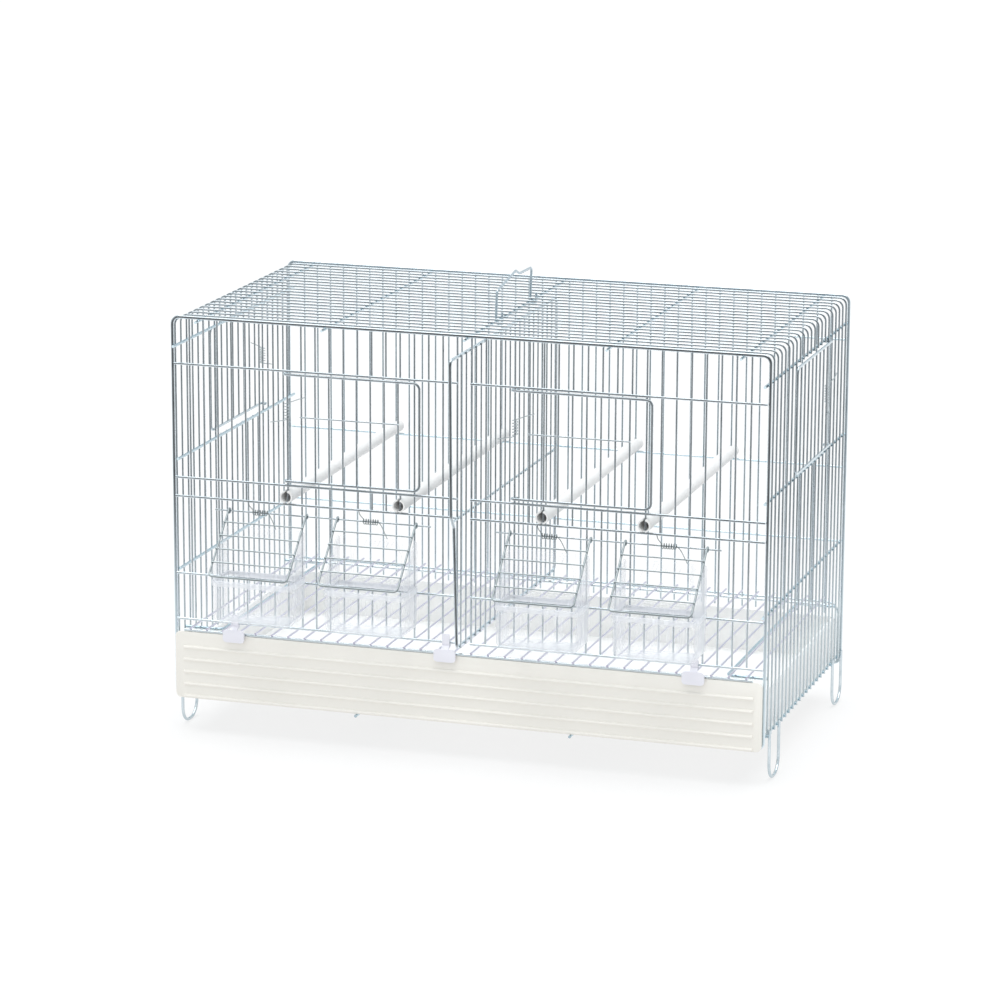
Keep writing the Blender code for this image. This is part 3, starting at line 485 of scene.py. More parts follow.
def clear_moulded(name, tint, roughness):
    """Clear plastic, thin enough to see through unbent: milkier at its rim and where a wall is edge on,
    with upright flow lines in relief and painted glints along them, where the pale colour turns more opaque."""
    f = Finish(name)
    flow = f.noise(30.0, 3.0, (1, 1, 2))
    streak = ((f.noise(170.0, 2.0, (1, 1, 0.12)) - 0.56) * 7.0).clamped()
    edge = f.add("ShaderNodeLayerWeight", {}, {"Blend": 0.5}, "Facing")
    height = f.add("ShaderNodeSeparateXYZ", {}, {"Vector": f.place()}, "Z")
    above = ((height - (CUP_RIM - CUP_RIM_TALL)) * 1500.0).clamped()
    rim = above * ((CUP_RIM + 0.0004 - height) * 1500.0).clamped()
    return f.done(
        Base_Color=f.mixed(flow, tint, (0.93, 0.94, 0.97)),
        Roughness=(flow - 0.5) * 0.05 + roughness,
        # The streak term paints glints: more opaque streaks of the pale colour.
        Alpha=(edge ** 3.5 * 0.95 + streak * 0.22 + flow * 0.05 + rim * 0.34 + 0.01).clamped(),
        Normal=f.bumped(flow + streak * 0.5, 0.08, 0.0004),
    )


# Painted shade: the front, heavy, hood and bar zinc are darkened, a painted dark reflection of the
# surroundings; their low tones are painted reflections of the pale floor.
FRONT_ZINC = zinc("front zinc wire", (0.25, 0.265, 0.28), (0.10, 0.11, 0.12), 0.20, low=(0.54, 0.59, 0.62))
HEAVY_ZINC = zinc("heavy zinc wire", (0.15, 0.16, 0.17), (0.045, 0.05, 0.055), 0.20, low=(0.56, 0.65, 0.70))
HOOD_ZINC = zinc("hood zinc wire", (0.29, 0.31, 0.325), (0.13, 0.145, 0.155), 0.24, (0.76, 0.83, 0.87),
                 low=(0.52, 0.58, 0.61))
BAR_ZINC = zinc("divider zinc bar", (0.14, 0.15, 0.16), (0.04, 0.045, 0.05), 0.20)
RAIL_ZINC = zinc("thick zinc rail", (0.76, 0.88, 0.93), (0.58, 0.71, 0.77), 0.22, (0.66, 0.78, 0.84))
BACK_ZINC = zinc("back zinc wire", (0.38, 0.43, 0.46), (0.20, 0.24, 0.27), 0.26, low=(0.46, 0.53, 0.57))
GRATE_ZINC = zinc("grate zinc wire", (0.56, 0.54, 0.65), (0.44, 0.42, 0.53), 0.32, (0.78, 0.76, 0.86))
BRACKET_ZINC = zinc("bracket zinc wire", (0.46, 0.56, 0.62), (0.32, 0.42, 0.48), 0.26, (0.60, 0.74, 0.80))
HANDLE_ZINC = zinc("handle zinc wire", (0.48, 0.55, 0.59), (0.26, 0.32, 0.36), 0.24, (0.62, 0.70, 0.75))
# Painted floor reflection: the feet get a paler zinc, as the low tone does on the lower wires.
FOOT_ZINC = zinc("foot zinc wire", (0.84, 0.90, 0.93), (0.48, 0.56, 0.61), 0.18, (0.56, 0.64, 0.68))
FLAP_ZINC = zinc("flap zinc wire", (0.27, 0.29, 0.295), (0.14, 0.155, 0.16), 0.34, (0.50, 0.56, 0.58))
DOOR_STEEL = zinc("door spring steel", (0.52, 0.55, 0.56), (0.30, 0.33, 0.34), 0.24, (0.52, 0.57, 0.59))
SPRING_STEEL = zinc("spring steel", (0.20, 0.22, 0.22), (0.07, 0.08, 0.08), 0.24, (0.30, 0.34, 0.35))
# behind is painted light inside the tray.
IVORY = moulded("ivory plastic", (0.86, 0.83, 0.775), (0.83, 0.80, 0.74), 0.42, 0.1,
                behind=(0.95, 0.945, 0.93))
MILKY = moulded("milky white plastic", (0.83, 0.82, 0.88), (0.79, 0.78, 0.84), 0.38, 0.1)
PERCH_WHITE = moulded("white perch plastic", (0.84, 0.83, 0.82), (0.78, 0.77, 0.76), 0.45)
CLEAR = clear_moulded("clear plastic", (0.84, 0.855, 0.90), 0.06)


# Pieces

def front_frame():
    loop = bent([(-FRAME_X, FRONT_Y, FRAME_BOTTOM), (FRAME_X, FRONT_Y, FRAME_BOTTOM),
                 (FRAME_X, FRONT_Y, FRAME_TOP), (-FRAME_X, FRONT_Y, FRAME_TOP)], BEND_R, closed=True)
    wire_piece("front_frame", [tube(loop, FRAME_R, 14, closed=True)], HEAVY_ZINC)


def back_frame():
    loop = bent([(-FRAME_X, BACK_Y, FRAME_BOTTOM), (FRAME_X, BACK_Y, FRAME_BOTTOM),
                 (FRAME_X, BACK_Y, FRAME_TOP), (-FRAME_X, BACK_Y, FRAME_TOP)], BEND_R, closed=True)
    rail_y = BACK_Y + WIRE_R + CROSS_R + GAP
    leg_x = 0.283 + CROSS_R + 0.002
    low = bent([(-leg_x, rail_y, FRAME_BOTTOM), (-leg_x, rail_y, BACK_LOW_RAIL),
                (leg_x, rail_y, BACK_LOW_RAIL), (leg_x, rail_y, FRAME_BOTTOM)], 0.012)
    wire_piece("back_frame", [tube(loop, FRAME_R, 12, closed=True), tube(low, CROSS_R)], BACK_ZINC)


def front_wire_runs(index):
    """The heights that one front wire covers: it stops at doorways and ports."""
    rails = FRONT_RAILS
    runs = [(rails["base"] - 0.0008, FRAME_TOP - FRAME_R - GAP)]
    gaps = [(a, b, rails["middle"], rails["top"]) for a, b in FRONT_DOORS.values()]
    gaps += [(a, b, rails["port"], rails["rod"]) for a, b in PORT_WIRES]
    for first, last, low, high in gaps:
        if first < index < last:
            runs = [cut for bottom, top in runs for cut in (
                [(bottom, low + 0.0008), (high - 0.0008, top)] if bottom < low < high < top
                else [(bottom, top)])]
    return runs


def front_grilles():
    rail_y = FRONT_Y - WIRE_R - RAIL_R + BITE
    outer = FRAME_X - FRAME_R - GAP
    for side, indices in (("left", range(HALF)), ("right", range(HALF, WIRES))):
        parts = []
        for index in indices:
            x = front_wire_x(index)
            radius = WIRE_R * (1.08 if index in (HALF - 1, HALF) else 1.0)
            parts += [straight((x, FRONT_Y, a), (x, FRONT_Y, b), radius) for a, b in front_wire_runs(index)]
        ends = (-outer, -SLOT_END) if side == "left" else (SLOT_END, outer)
        parts += [straight((ends[0], rail_y, z), (ends[1], rail_y, z), RAIL_R, 12)
                  for z in FRONT_RAILS.values()]
        wire_piece(f"front_grille_{side}", parts, FRONT_ZINC)


def back_grille():
    rail_y = BACK_Y + WIRE_R + RAIL_R - BITE
    outer = FRAME_X - FRAME_R - GAP
    top = FRAME_TOP - FRAME_R - GAP
    parts = [straight((front_wire_x(i), BACK_Y, 0.086), (front_wire_x(i), BACK_Y, top), WIRE_R, 8)
             for i in range(WIRES)]
    rails = [straight((-outer, rail_y, z), (outer, rail_y, z), RAIL_R) for z in BACK_RAILS]
    wire_piece("back_grille", parts, BACK_ZINC, rails, RAIL_ZINC)


def hood():
    hung, shut = SIDE_DOOR_WIRES
    parts = []
    for i in range(HOOD_WIRES):
        y = hood_wire_y(i)
        broken = shut < i < hung
        low = SIDE_RAILS["upper"] - 0.0008 if broken else HOOD_BOTTOM
        path = bent([(HOOD_X, y, low), (HOOD_X, y, HOOD_TOP), (-HOOD_X, y, HOOD_TOP), (-HOOD_X, y, low)],
                    BEND_R)
        parts.append(tube(path, WIRE_R))
        if broken:
            parts += [straight((s * HOOD_X, y, HOOD_BOTTOM), (s * HOOD_X, y, SIDE_RAILS["middle"] + 0.0008),
                               WIRE_R) for s in (-1, 1)]
    tip, end = FRONT_Y - 0.007, BACK_Y + 0.0045
    rails = [straight((x, tip, CROSS_TOP), (x, end, CROSS_TOP), CROSS_R) for x in TOP_WIRES_X]
    for s in (-1, 1):
        x = s * SIDE_RAIL_X
        spans = {"upper": (tip, end), "middle": (FRONT_Y + 0.0015, end),
                 "lower": (FRONT_Y + 0.003, BACK_Y - 0.002), "base": (FRONT_Y + 0.003, BACK_Y - 0.002)}
        rails += [straight((x, spans[k][0], z), (x, spans[k][1], z), SIDE_R) for k, z in SIDE_RAILS.items()]
    wire_piece("hood_grille", parts, HOOD_ZINC, rails, RAIL_ZINC)


def feet():
    x = HOOD_X + WIRE_R + GAP + FOOT_R
    for side, s in (("left", -1), ("right", 1)):
        for place, middle in zip(("front", "back"), FOOT_Y):
            y, low = FRONT_Y + middle, FOOT_R + 0.00003
            path = bent([(s * x, y - FOOT_HALF, FOOT_TOP), (s * x, y - FOOT_HALF, low),
                         (s * x, y + FOOT_HALF, low), (s * x, y + FOOT_HALF, FOOT_TOP)],
                        FOOT_BEND, steps=12)
            wire_piece(f"foot_{place}_{side}", [tube(path, FOOT_R, 12)], FOOT_ZINC)


def base_wires():
    z = FRAME_BOTTOM - FRAME_R - GAP - UNDER
    for side, s in (("left", -1), ("right", 1)):
        tie = straight((s * TIE_X, FRONT_Y - 0.007, z), (s * TIE_X, BACK_Y + 0.004, z), BRACKET_R)
        wire_piece(f"base_tie_{side}", [tie], BRACKET_ZINC)
    z = GRATE_Z - GRATE_END_R - GAP - UNDER
    wall = HOOD_X - WIRE_R - GAP
    front, back = hood_wire_y(1), hood_wire_y(HOOD_WIRES - 2)
    for side, s in (("left", -1), ("right", 1)):
        path = bent([(s * wall, front, z), (s * RUNNER_X, front, z), (s * RUNNER_X, back, z),
                     (s * wall, back, z)], 0.006)
        wire_piece(f"grate_runner_{side}", [tube(path, BRACKET_R)], BRACKET_ZINC)
    for side, (first, last) in ROD_SPANS.items():
        ends = [(front_wire_x(first) - 0.003, ROD_Y, ROD_Z), (front_wire_x(last) + 0.003, ROD_Y, ROD_Z)]
        wire_piece(f"feeder_hinge_rod_{side}", [straight(*ends, ROD_R)], FRONT_ZINC)


def front_doors():
    radius = WIRE_R + GAP + DOOR_R
    leaf_y = FRONT_Y - radius
    for side, (hung, shut) in FRONT_DOORS.items():
        hinge, free = front_wire_x(hung), front_wire_x(shut) + DOOR_LAP
        top = arc((hinge, FRONT_Y, DOOR_TOP), radius, -90 - HINGE_ARC, -90, 18, (0, 1))
        low = arc((hinge, FRONT_Y, DOOR_BOTTOM), radius, -90, -90 - HINGE_ARC, 18, (0, 1))
        leaf = bent([top[-1], (free, leaf_y, DOOR_TOP), (free, leaf_y, DOOR_BOTTOM), low[0]], DOOR_BEND)
        path = np.concatenate([top[:-1], leaf, low[1:]])
        step = (front_wire_x(shut) - DOOR_LAST - hinge - DOOR_FIRST) / (DOOR_WIRES - 1)
        xs = hinge + DOOR_FIRST + step * np.arange(DOOR_WIRES)
        parts = [tube(path, DOOR_R, 12)]
        parts += [straight((x, leaf_y, DOOR_BOTTOM), (x, leaf_y, DOOR_TOP), WIRE_R) for x in xs]
        mid_y = leaf_y - WIRE_R - DOOR_THIN_R + BITE
        thin = [(x, mid_y, DOOR_MIDDLE) for x in (xs[0] - WIRE_R, xs[-1] + WIRE_R)]
        parts.append(straight(*thin, DOOR_THIN_R))
        wire_piece(f"front_door_{side}", parts, FRONT_ZINC)


def side_doors():
    hung, shut = SIDE_DOOR_WIRES
    radius = WIRE_R + GAP + DOOR_R
    hinge, free = hood_wire_y(hung), hood_wire_y(shut) - DOOR_LAP
    for side, s in (("left", -1), ("right", 1)):
        leaf_x = s * (HOOD_X + radius)
        turn = 180 if s < 0 else 0
        top = arc((s * HOOD_X, hinge, SIDE_DOOR_TOP), radius, turn + s * HINGE_ARC, turn, 18, (0, 1))
        low = arc((s * HOOD_X, hinge, SIDE_DOOR_BOTTOM), radius, turn, turn + s * HINGE_ARC, 18, (0, 1))
        leaf = bent([top[-1], (leaf_x, free, SIDE_DOOR_TOP), (leaf_x, free, SIDE_DOOR_BOTTOM), low[0]],
                    DOOR_BEND)
        path = np.concatenate([top[:-1], leaf, low[1:]])
        step = (hinge - DOOR_FIRST - hood_wire_y(shut) - DOOR_LAST + DOOR_BEND) / (DOOR_WIRES - 1)
        ys = hinge - DOOR_FIRST - step * np.arange(DOOR_WIRES)
        parts = [tube(path, DOOR_R, 12)]
        parts += [straight((leaf_x, y, SIDE_DOOR_BOTTOM), (leaf_x, y, SIDE_DOOR_TOP), WIRE_R) for y in ys]
        wire_piece(f"side_door_{side}", parts, HOOD_ZINC)


def coil(wire, pieces):
    """One spring: its arms and curls joined into a path, carried with the wire's circle."""
    return tube(np.concatenate(pieces), wire, 8, lean=(0.1, 0.05, 1))


def door_springs():
    """Curls round each door's hinge wire, one arm on the leaf and one on the cage."""
    for side, (hung, _) in FRONT_DOORS.items():
        x, z = front_wire_x(hung), FRONT_COIL_Z
        pieces = [smooth_line([(x - 0.0165, FRONT_Y - 0.0019, z - 0.0112),
                               (x - 0.0036, FRONT_Y + 0.0004, z - 0.0092)]),
                  helix((x, FRONT_Y, z), DOOR_COIL_R, 0.0155, 5.5, 2, 90),
                  smooth_line([(x + 0.0125, FRONT_Y - 0.0046, z + 0.0130),
                               (x + 0.0200, FRONT_Y - 0.0046, z + 0.0155)])]
        wire_piece(f"front_door_spring_{side}", [coil(DOOR_COIL_WIRE, pieces)], DOOR_STEEL)
    hinge = hood_wire_y(SIDE_DOOR_WIRES[0])
    for side, s in (("left", -1), ("right", 1)):
        pieces = [smooth_line([(0.0019, 0.0310, -0.0155), (0.0019, 0.0165, -0.0120),
                               (-0.0004, 0.0036, -0.0097)]),
                  helix((0, 0, 0), DOOR_COIL_R, 0.0165, 6.5, 2, 180),
                  smooth_line([(0.00458, -0.0125, 0.0135), (0.00458, -0.0200, 0.0160)])]
        pieces = [p * (s, 1, -s) + (s * HOOD_X, hinge, SIDE_COIL_Z) for p in pieces]
        wire_piece(f"side_door_spring_{side}", [coil(DOOR_COIL_WIRE, pieces)], DOOR_STEEL)


def flap_point(x, along, proud):
    """A point on the sloping flap: along it from the rod, and proud of it on the outside."""
    s, c = math.sin(FLAP_ANGLE), math.cos(FLAP_ANGLE)
    return x, ROD_Y - along * s - proud * c, ROD_Z - along * c + proud * s


def feeder_flaps():
    eye = ROD_R + GAP + FLAP_R
    normal = 180 - math.degrees(math.pi / 2 - FLAP_ANGLE)
    for name, port_middle in FEEDERS.items():
        middle = port_middle + FLAP_SHIFT[name]
        left, right = middle - FLAP_HALF, middle + FLAP_HALF
        first = arc((left, ROD_Y, ROD_Z), eye, normal - 280, normal, 18, (1, 2))
        last = arc((right, ROD_Y, ROD_Z), eye, normal, normal - 280, 18, (1, 2))
        path = np.concatenate([first[:-1], bent([first[-1], flap_point(left, FLAP_LENGTH, eye),
                                                 flap_point(right, FLAP_LENGTH, eye), last[0]], 0.004),
                               last[1:]])
        proud = eye + FLAP_R + RUNG_R - BITE
        parts = [tube(path, FLAP_R)]
        parts += [straight(flap_point(left - 0.001, i * RUNG_STEP, proud),
                           flap_point(right + 0.001, i * RUNG_STEP, proud), RUNG_R, 8) for i in range(1, 5)]
        wire_piece(f"feeder_flap_{name}", parts, FLAP_ZINC)


def feeder_springs():
    rail = FRONT_Y - WIRE_R - 2 * RAIL_R - GAP
    proud = ROD_R + GAP + 2 * FLAP_R + 2 * RUNG_R + GAP + COIL_WIRE
    for name, middle in FEEDERS.items():
        x = middle + COIL_SHIFT[name]
        start, end = x - COIL_HALF, x + COIL_HALF
        path = np.concatenate([
            smooth_line([(start - 0.0035, rail - COIL_WIRE - GAP, ROD_Z + 0.0105),
                         (start - 0.0025, rail - COIL_WIRE - GAP, ROD_Z + 0.007),
                         (start - 0.0008, ROD_Y + COIL_R - 0.0004, ROD_Z + 0.0022)]),
            helix((x, ROD_Y, ROD_Z), COIL_R, 2 * COIL_HALF, COIL_CURLS, 0, 0),
            smooth_line([flap_point(end + 0.0012, 0.0015, 0.0028),
                         flap_point(end + 0.0065, 0.0075, proud),
                         flap_point(end + 0.0150, 0.0200, proud)])])
        wire_piece(f"feeder_spring_{name}", [tube(path, COIL_WIRE, 8, lean=(1, 0.1, 0.05))], SPRING_STEEL)


def sector(start, end, y0, y1, steps=20):
    """Part of a pipe along Y: outer and inner arcs from start to end degrees as one closed outline,
    carried from y0 to y1, with flat ends."""
    t = np.radians(np.linspace(start, end, steps + 1))
    outer = np.stack([PERCH_R * np.cos(t), PERCH_R * np.sin(t)], 1)
    inner = np.stack([PERCH_BORE * np.cos(t), PERCH_BORE * np.sin(t)], 1)[::-1]
    outline = np.concatenate([outer, inner])
    n = len(outline)
    points = np.concatenate([np.stack([outline[:, 0], np.full(n, y), outline[:, 1]], 1) for y in (y0, y1)])
    i = np.arange(n)
    j = (i + 1) % n
    faces = np.stack([i, j, j + n, i + n], 1).tolist()
    for base in (0, n):
        for k in range(steps):
            quad = [base + k, base + k + 1, base + n - 2 - k, base + n - 1 - k]
            faces.append(quad[::-1] if base == 0 else quad)
    return points, faces


def pipe(y0, y1, sides=40):
    """A whole pipe along Y: four rings, outer and inner at both ends, joined in turn."""
    t = 2 * np.pi * np.arange(sides) / sides
    rings = [np.stack([r * np.cos(t), np.full(sides, y), r * np.sin(t)], 1)
             for r, y in ((PERCH_R, y0), (PERCH_R, y1), (PERCH_BORE, y1), (PERCH_BORE, y0))]
    i = np.arange(sides)
    j = (i + 1) % sides
    faces = []
    for k in range(4):
        m = (k + 1) % 4
        faces += np.stack([k * sides + i, k * sides + j, m * sides + j, m * sides + i], 1).tolist()
    return np.concatenate(rings), faces


def perches():
    """Pipes slotted at both ends, sloping up a little from the front rail to the back rail."""
    start, end = FRONT_Y - PERCH_REACH, BACK_Y + PERCH_REACH
    half = WIRE_R + GAP
    inset = 0.00002
    turn = math.degrees(math.asin(half / (PERCH_BORE + 0.0009)))
    slope = (PERCH_BACK_Z - PERCH_FRONT_Z) / (DEPTH + 2 * (WIRE_R + RAIL_R))
    lift = (PERCH_FRONT_Z + PERCH_BACK_Z) / 2 - slope * (FRONT_Y + BACK_Y) / 2
    for name, index in PERCH_WIRES.items():
        parts = [pipe(FRONT_Y + half, BACK_Y - half)]
        for y0, y1 in ((start, FRONT_Y + half - inset), (BACK_Y - half + inset, end)):
            parts += [sector(-90 + turn, 90 - turn, y0, y1), sector(90 + turn, 270 - turn, y0, y1)]
        # Each point climbs by the slope times its distance along the pipe
        parts = [(points + np.stack([np.full(len(points), front_wire_x(index)), np.zeros(len(points)),
                                     lift + slope * points[:, 1]], 1), faces) for points, faces in parts]
        obj = object_of("perch_pipe_" + name, parts, PERCH_WHITE)
        outwards(obj)
        stands_for(obj, f"perch_{name}")


def outwards(obj):
    """Turns every face of the closed parts to the outside."""
    work = bmesh.new()
    work.from_mesh(obj.data)
    bmesh.ops.recalc_face_normals(work, faces=work.faces)
    work.to_mesh(obj.data)
    work.free()


def divider():
    jog = FRONT_RAILS["rod"] + 0.0008
    x = DIVIDER_X
    reach = DIVIDER_REACH
    loop = bent([(x, BACK_Y - DIVIDER_INSET, DIVIDER_TOP), (x, FRONT_Y - reach["top"], DIVIDER_TOP),
                 (x, FRONT_Y - reach["jog_top"], jog + DIVIDER_JOG),
                 (x, FRONT_Y - reach["jog_low"], jog - DIVIDER_JOG),
                 (x, FRONT_Y - reach["bottom"], DIVIDER_BOTTOM),
                 (x, BACK_Y - DIVIDER_INSET, DIVIDER_BOTTOM)], 0.005, closed=True)
    thin = WIRE_R * 0.9
    upright = x + DIVIDER_R + thin - BITE
    pitch = (DEPTH - 0.012) / (DIVIDER_WIRES - 1)
    parts = []
    for i in range(DIVIDER_WIRES):
        y = BACK_Y - 0.016 - i * pitch
        parts.append(straight((upright, y, DIVIDER_BOTTOM - 0.001), (upright, y, DIVIDER_TOP + 0.001), thin))
    middle_r = DIVIDER_R * 0.8
    middle = upright - thin - GAP - middle_r
    parts.append(straight((middle, FRONT_Y - 0.0215, jog), (middle, BACK_Y - 0.0085, jog), middle_r))
    wire_piece("divider", parts, FRONT_ZINC, [tube(loop, DIVIDER_R, 12, closed=True)], BAR_ZINC)


def floor_grate():
    top = GRATE_Z + GRATE_END_R + WIRE_R - BITE
    xs = (np.arange(GRATE_WIRES) - (GRATE_WIRES - 1) / 2) * GRATE_PITCH
    parts = [straight((x, PANEL_FRONT - 0.0003, top), (x, BACK_Y - 0.008, top), WIRE_R) for x in xs]
    ends = [straight((-GRATE_HALF, y, GRATE_Z), (GRATE_HALF, y, GRATE_Z), GRATE_END_R)
            for y in (PANEL_FRONT + 0.0012, hood_wire_y(HOOD_WIRES - 2) - 0.008)]
    wire_piece("floor_grate", parts, GRATE_ZINC, ends, FRONT_ZINC)


def carry_handle():
    hook = CROSS_R + HANDLE_PLAY + HANDLE_R
    wire_z = CROSS_TOP - BITE - GAP
    halves = []
    for leg in HANDLE_LEGS:
        y = FRONT_Y + leg
        halves.append(np.concatenate([[(MIDDLE_WIRE_X + hook, y, wire_z + 0.008)],
                                      arc((MIDDLE_WIRE_X, y, wire_z), hook, 0, -180, 12, (0, 2))]))
    grip = [(MIDDLE_WIRE_X - hook, FRONT_Y + y, z) for y, z in HANDLE_GRIP]
    grip = bent([halves[0][-1]] + grip + [halves[1][-1]], 0.004)
    path = np.concatenate([halves[0][:-1], grip, halves[1][::-1][1:]])
    wire_piece("carry_handle", [tube(path, HANDLE_R, 14, lean=(1, 0.2, 0.1))], HANDLE_ZINC)


def rounded_outline(half, low, high, corners, steps=6):
    """A rectangle of half width and two levels with a quarter circle at each corner, as (across, level)
    points; corners holds the radius of the two low corners and of the two high ones."""
    t = np.linspace(0, np.pi / 2, steps + 1)
    made = []
    for k, (side, level, radius) in enumerate(((1, low, corners[0]), (1, high, corners[1]),
                                               (-1, high, corners[1]), (-1, low, corners[0]))):
        inward = 1 if level == low else -1
        a = t + (k - 1) * np.pi / 2
        made.append(np.stack([side * (half - radius) + radius * np.cos(a),
                              level + inward * radius + radius * np.sin(a)], 1))
    return np.concatenate(made)


def lofted(rings, closed=False):
    """Rings of equally many points joined in order, with flat ends or the last joined to the first."""
    n = len(rings[0])
    i = np.arange(n)
    j = (i + 1) % n
    faces = []
    count = len(rings)
    for k in range(count if closed else count - 1):
        m = (k + 1) % count
        faces += np.stack([k * n + i, k * n + j, m * n + j, m * n + i], 1).tolist()
    if not closed:
        faces.append(list(range(n))[::-1])
        faces.append(list(range((count - 1) * n, count * n)))
    return np.concatenate(rings), faces


def cup_trough(middle):
    """Rounded outlines climbing from the bottom to the rim outside, and back down inside the wall.

    At the bottom the outline steps in by r (1 - sin t) at a height of r (1 - cos t).
    """
    t = np.radians(np.linspace(10, 90, 6))
    levels = [(CUP_FOOT_BEND * (1 - math.sin(a)), CUP_BOTTOM + CUP_FOOT_BEND * (1 - math.cos(a))) for a in t]
    low, rim, proud = CUP_RIM - CUP_RIM_TALL, CUP_RIM, CUP_RIM_PROUD
    levels += [(0, low), (-proud * 0.8, low + 0.0002), (-proud, low + 0.0008), (-proud, rim - 0.0007),
               (-proud + 0.0004, rim - 0.0001), (0, rim), (CUP_WALL - 0.0004, rim), (CUP_WALL, rim - 0.0005)]
    bend = CUP_FOOT_BEND - CUP_WALL
    inner = [(CUP_WALL + bend * (1 - math.sin(a)), CUP_BOTTOM + CUP_WALL + bend * (1 - math.cos(a)))
             for a in t]
    rings = []
    for inset, level in levels + inner[::-1]:
        front = max(CUP_FRONT_BEND - inset, 0.0006)
        back = max(CUP_BACK_BEND - inset, 0.0004)
        ends = (CUP_FRONT + inset, CUP_BACK - max(inset, 0))
        outline = rounded_outline(CUP_HALF - inset, *ends, (front, back))
        rings.append(np.column_stack([outline[:, 0] + middle, outline[:, 1], np.full(len(outline), level)]))
    return lofted(rings)


def cup_back(middle):
    """The plate behind: from a rounded outer outline to the head hole's outline, front face and back."""
    outer = rounded_outline(CUP_HALF, CUP_RIM - 0.003, CUP_TOP, (0.0006, 0.004))
    hole = rounded_outline(HEAD_HALF, HEAD_LOW, HEAD_TOP, (0.0006, 0.007))
    rings = []
    face = CUP_BACK - CUP_WALL
    for outline, y in ((outer, CUP_BACK), (outer, face), (hole, face), (hole, CUP_BACK)):
        rings.append(np.column_stack([outline[:, 0] + middle, np.full(len(outline), y), outline[:, 1]]))
    return lofted(rings, closed=True)


def cup_cheek(x0, x1):
    """The sloping side wall: an outline with a rounded upper front, carried from x0 to x1."""
    line = bent([(0, CUP_FRONT, CUP_RIM - 0.002), (0, CUP_FRONT, CUP_CHEEK), (0, CUP_BACK - 0.006, CUP_TOP),
                 (0, CUP_BACK - 0.0004, CUP_TOP), (0, CUP_BACK - 0.0004, CUP_RIM - 0.002)], 0.004)
    return lofted([line + (x, 0, 0) for x in (x0, x1)])


def cup_marks(middle):
    """Seven short slanted ribs pressed into the bar above the head hole."""
    y = CUP_BACK - CUP_WALL
    xs = middle - 0.013 + 0.0044 * np.arange(7)
    return [straight((x, y, 0.2000), (x + 0.0025, y, 0.2052), 0.0005, 8) for x in xs]


def feeder_cups():
    for name, middle in FEEDERS.items():
        left, right = middle - CUP_HALF, middle + CUP_HALF
        shelf = FRONT_RAILS["port"] + RAIL_R + GAP
        tongue = rounded_outline(0.030, CUP_BACK - 0.001, FRONT_Y + 0.004, (0.0003, 0.003))
        parts = [cup_trough(middle), cup_back(middle), cup_cheek(left, left + CUP_WALL),
                 cup_cheek(right - CUP_WALL, right)]
        parts.append(lofted([np.column_stack([tongue[:, 0] + middle, tongue[:, 1], np.full(len(tongue), z)])
                             for z in (shelf, shelf + 0.0018)]))
        obj = object_of("moulded_feeder_cup_" + name, parts + cup_marks(middle), CLEAR)
        outwards(obj)
        stands_for(obj, f"feeder_cup_{name}")


def plastics():
    moulded_piece("tray", IVORY, 0.0007, limit=25)
    for name in ("left", "middle", "right"):
        moulded_piece(f"tray_clip_{name}", MILKY, 0.0004)


# Floor, light and camera

FLOOR_SPAN = 6.0
FLOOR_GLOW = 0.70
ROOM_STRENGTH = 0.84
VIEW_TURN = 17.735
VIEW_TILT = 13.534
VIEW_ROLL = 0.257
VIEW_ASIDE = 0.0339
VIEW_LIFT = 0.177807
VIEW_DISTANCE = 3.847774
SENSOR = 36.0
LENS_TIMES_WIDTH = 4.094345


def floor():
    """A wide level sheet at height zero, lit a little from beneath so that shadows stay light."""
    span = FLOOR_SPAN
    mesh = bpy.data.meshes.new("studio_floor")
    mesh.from_pydata([(-span, -span, 0), (span, -span, 0), (span, span * 3, 0), (-span, span * 3, 0)],
                     [], [(0, 1, 2, 3)])
    obj = bpy.data.objects.new("studio_floor", mesh)
    bpy.context.scene.collection.objects.link(obj)
    f = Finish("studio floor")
    f.surface.inputs["Specular IOR Level"].default_value = 0.0
    f.surface.inputs["Emission Color"].default_value = (1, 1, 1, 1)
    f.surface.inputs["Emission Strength"].default_value = FLOOR_GLOW
    tone = f.noise(3.0, 2.0)
    mesh.materials.append(f.done(Base_Color=f.mixed(tone, (0.21, 0.21, 0.21), (0.23, 0.23, 0.23)),
                                 Roughness=1.0))


def area_light(name, place, target, size, power):
    """A rectangle of light at the place, facing the target."""
    data = bpy.data.lights.new(name, "AREA")
    data.shape = "RECTANGLE"
    data.size, data.size_y = size
    data.energy = power
    obj = bpy.data.objects.new(name, data)
    bpy.context.scene.collection.objects.link(obj)
    back = np.asarray(place, float) - np.asarray(target, float)
    obj.matrix_world = looking(place, back / np.linalg.norm(back), (0, 0, 1))


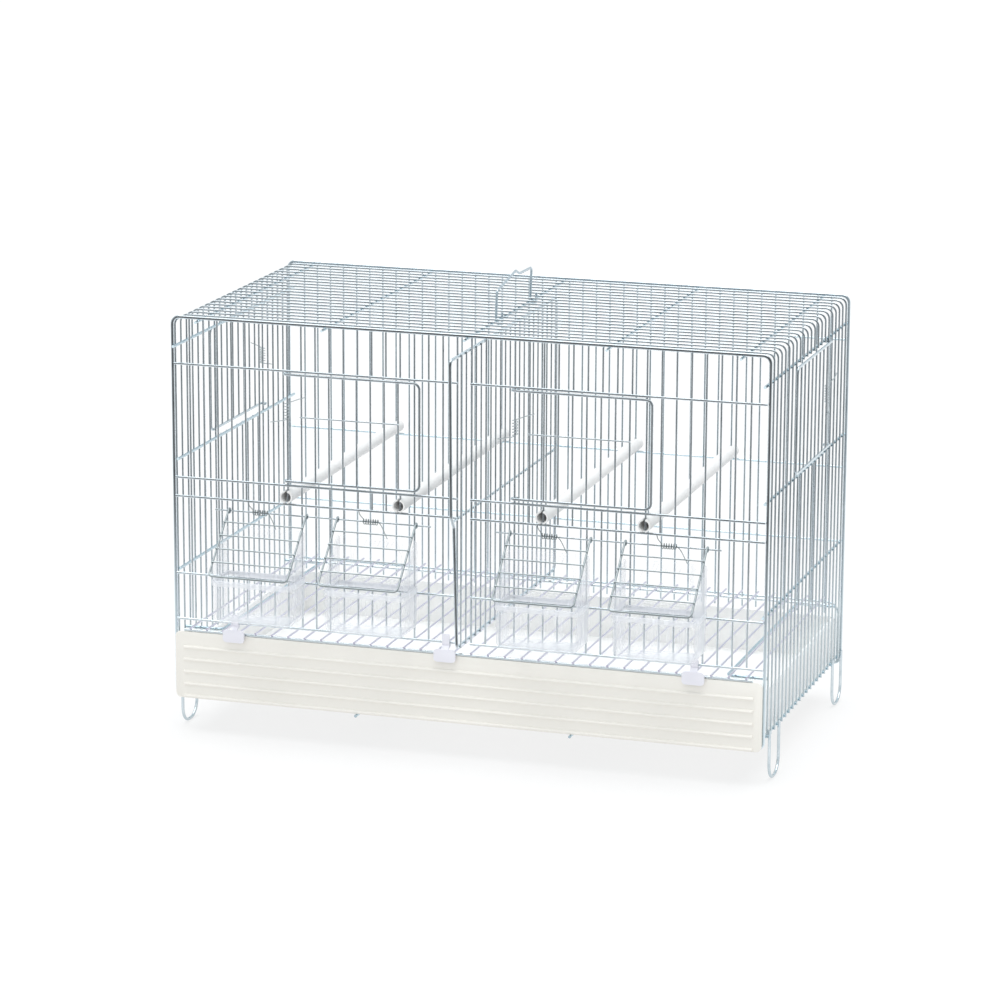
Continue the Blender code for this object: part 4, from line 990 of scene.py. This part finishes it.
def looking(place, back, up):
    """The matrix whose columns are right, up, back and the place."""
    right = np.cross(up, back)
    right /= np.linalg.norm(right)
    lift = np.cross(back, right)
    return Matrix([[right[i], lift[i], back[i], place[i]] for i in range(3)] + [[0, 0, 0, 1]])


def light():
    """A pale even room, one broad soft light overhead and a large soft box in front on the left."""
    world = bpy.data.worlds.new("studio")
    bpy.context.scene.world = world
    world.use_nodes = True
    room = world.node_tree.nodes["Background"]
    room.inputs["Color"].default_value = (0.92, 0.97, 1.0, 1)
    room.inputs["Strength"].default_value = ROOM_STRENGTH
    data = bpy.data.lights.new("overhead", "SUN")
    data.energy = 2.5
    data.angle = math.radians(60)
    obj = bpy.data.objects.new("overhead", data)
    bpy.context.scene.collection.objects.link(obj)
    area_light("front box", (-1.2, -2.6, 2.0), (0, 0, 0.15), (1.6, 1.2), 5)


def camera():
    """The fitted view: turned and tilted about the wire body, with a small roll and no shift."""
    turn, tilt, roll = (math.radians(v) for v in (VIEW_TURN, VIEW_TILT, VIEW_ROLL))
    back = np.array((math.sin(turn) * math.cos(tilt), -math.cos(turn) * math.cos(tilt), math.sin(tilt)))
    level = np.array((math.cos(turn), math.sin(turn), 0.0))
    up = np.cross(back, level)
    right = math.cos(roll) * level + math.sin(roll) * up
    lift = math.cos(roll) * up - math.sin(roll) * level
    aim = np.array((0, FRONT_Y, 0.067))
    place = aim + VIEW_ASIDE * right + VIEW_LIFT * lift + VIEW_DISTANCE * back
    data = bpy.data.cameras.new("camera")
    data.sensor_width = SENSOR
    data.lens = LENS_TIMES_WIDTH * SENSOR
    data.clip_end = 50.0
    obj = bpy.data.objects.new("camera", data)
    bpy.context.scene.collection.objects.link(obj)
    obj.matrix_world = Matrix([[right[i], lift[i], back[i], place[i]] for i in range(3)] + [[0, 0, 0, 1]])
    bpy.context.scene.camera = obj


front_frame()
back_frame()
front_grilles()
back_grille()
hood()
feet()
base_wires()
front_doors()
side_doors()
door_springs()
feeder_flaps()
feeder_springs()
perches()
divider()
floor_grate()
carry_handle()
feeder_cups()
plastics()
floor()
light()
camera()
bpy.context.scene.view_settings.view_transform = "Standard"
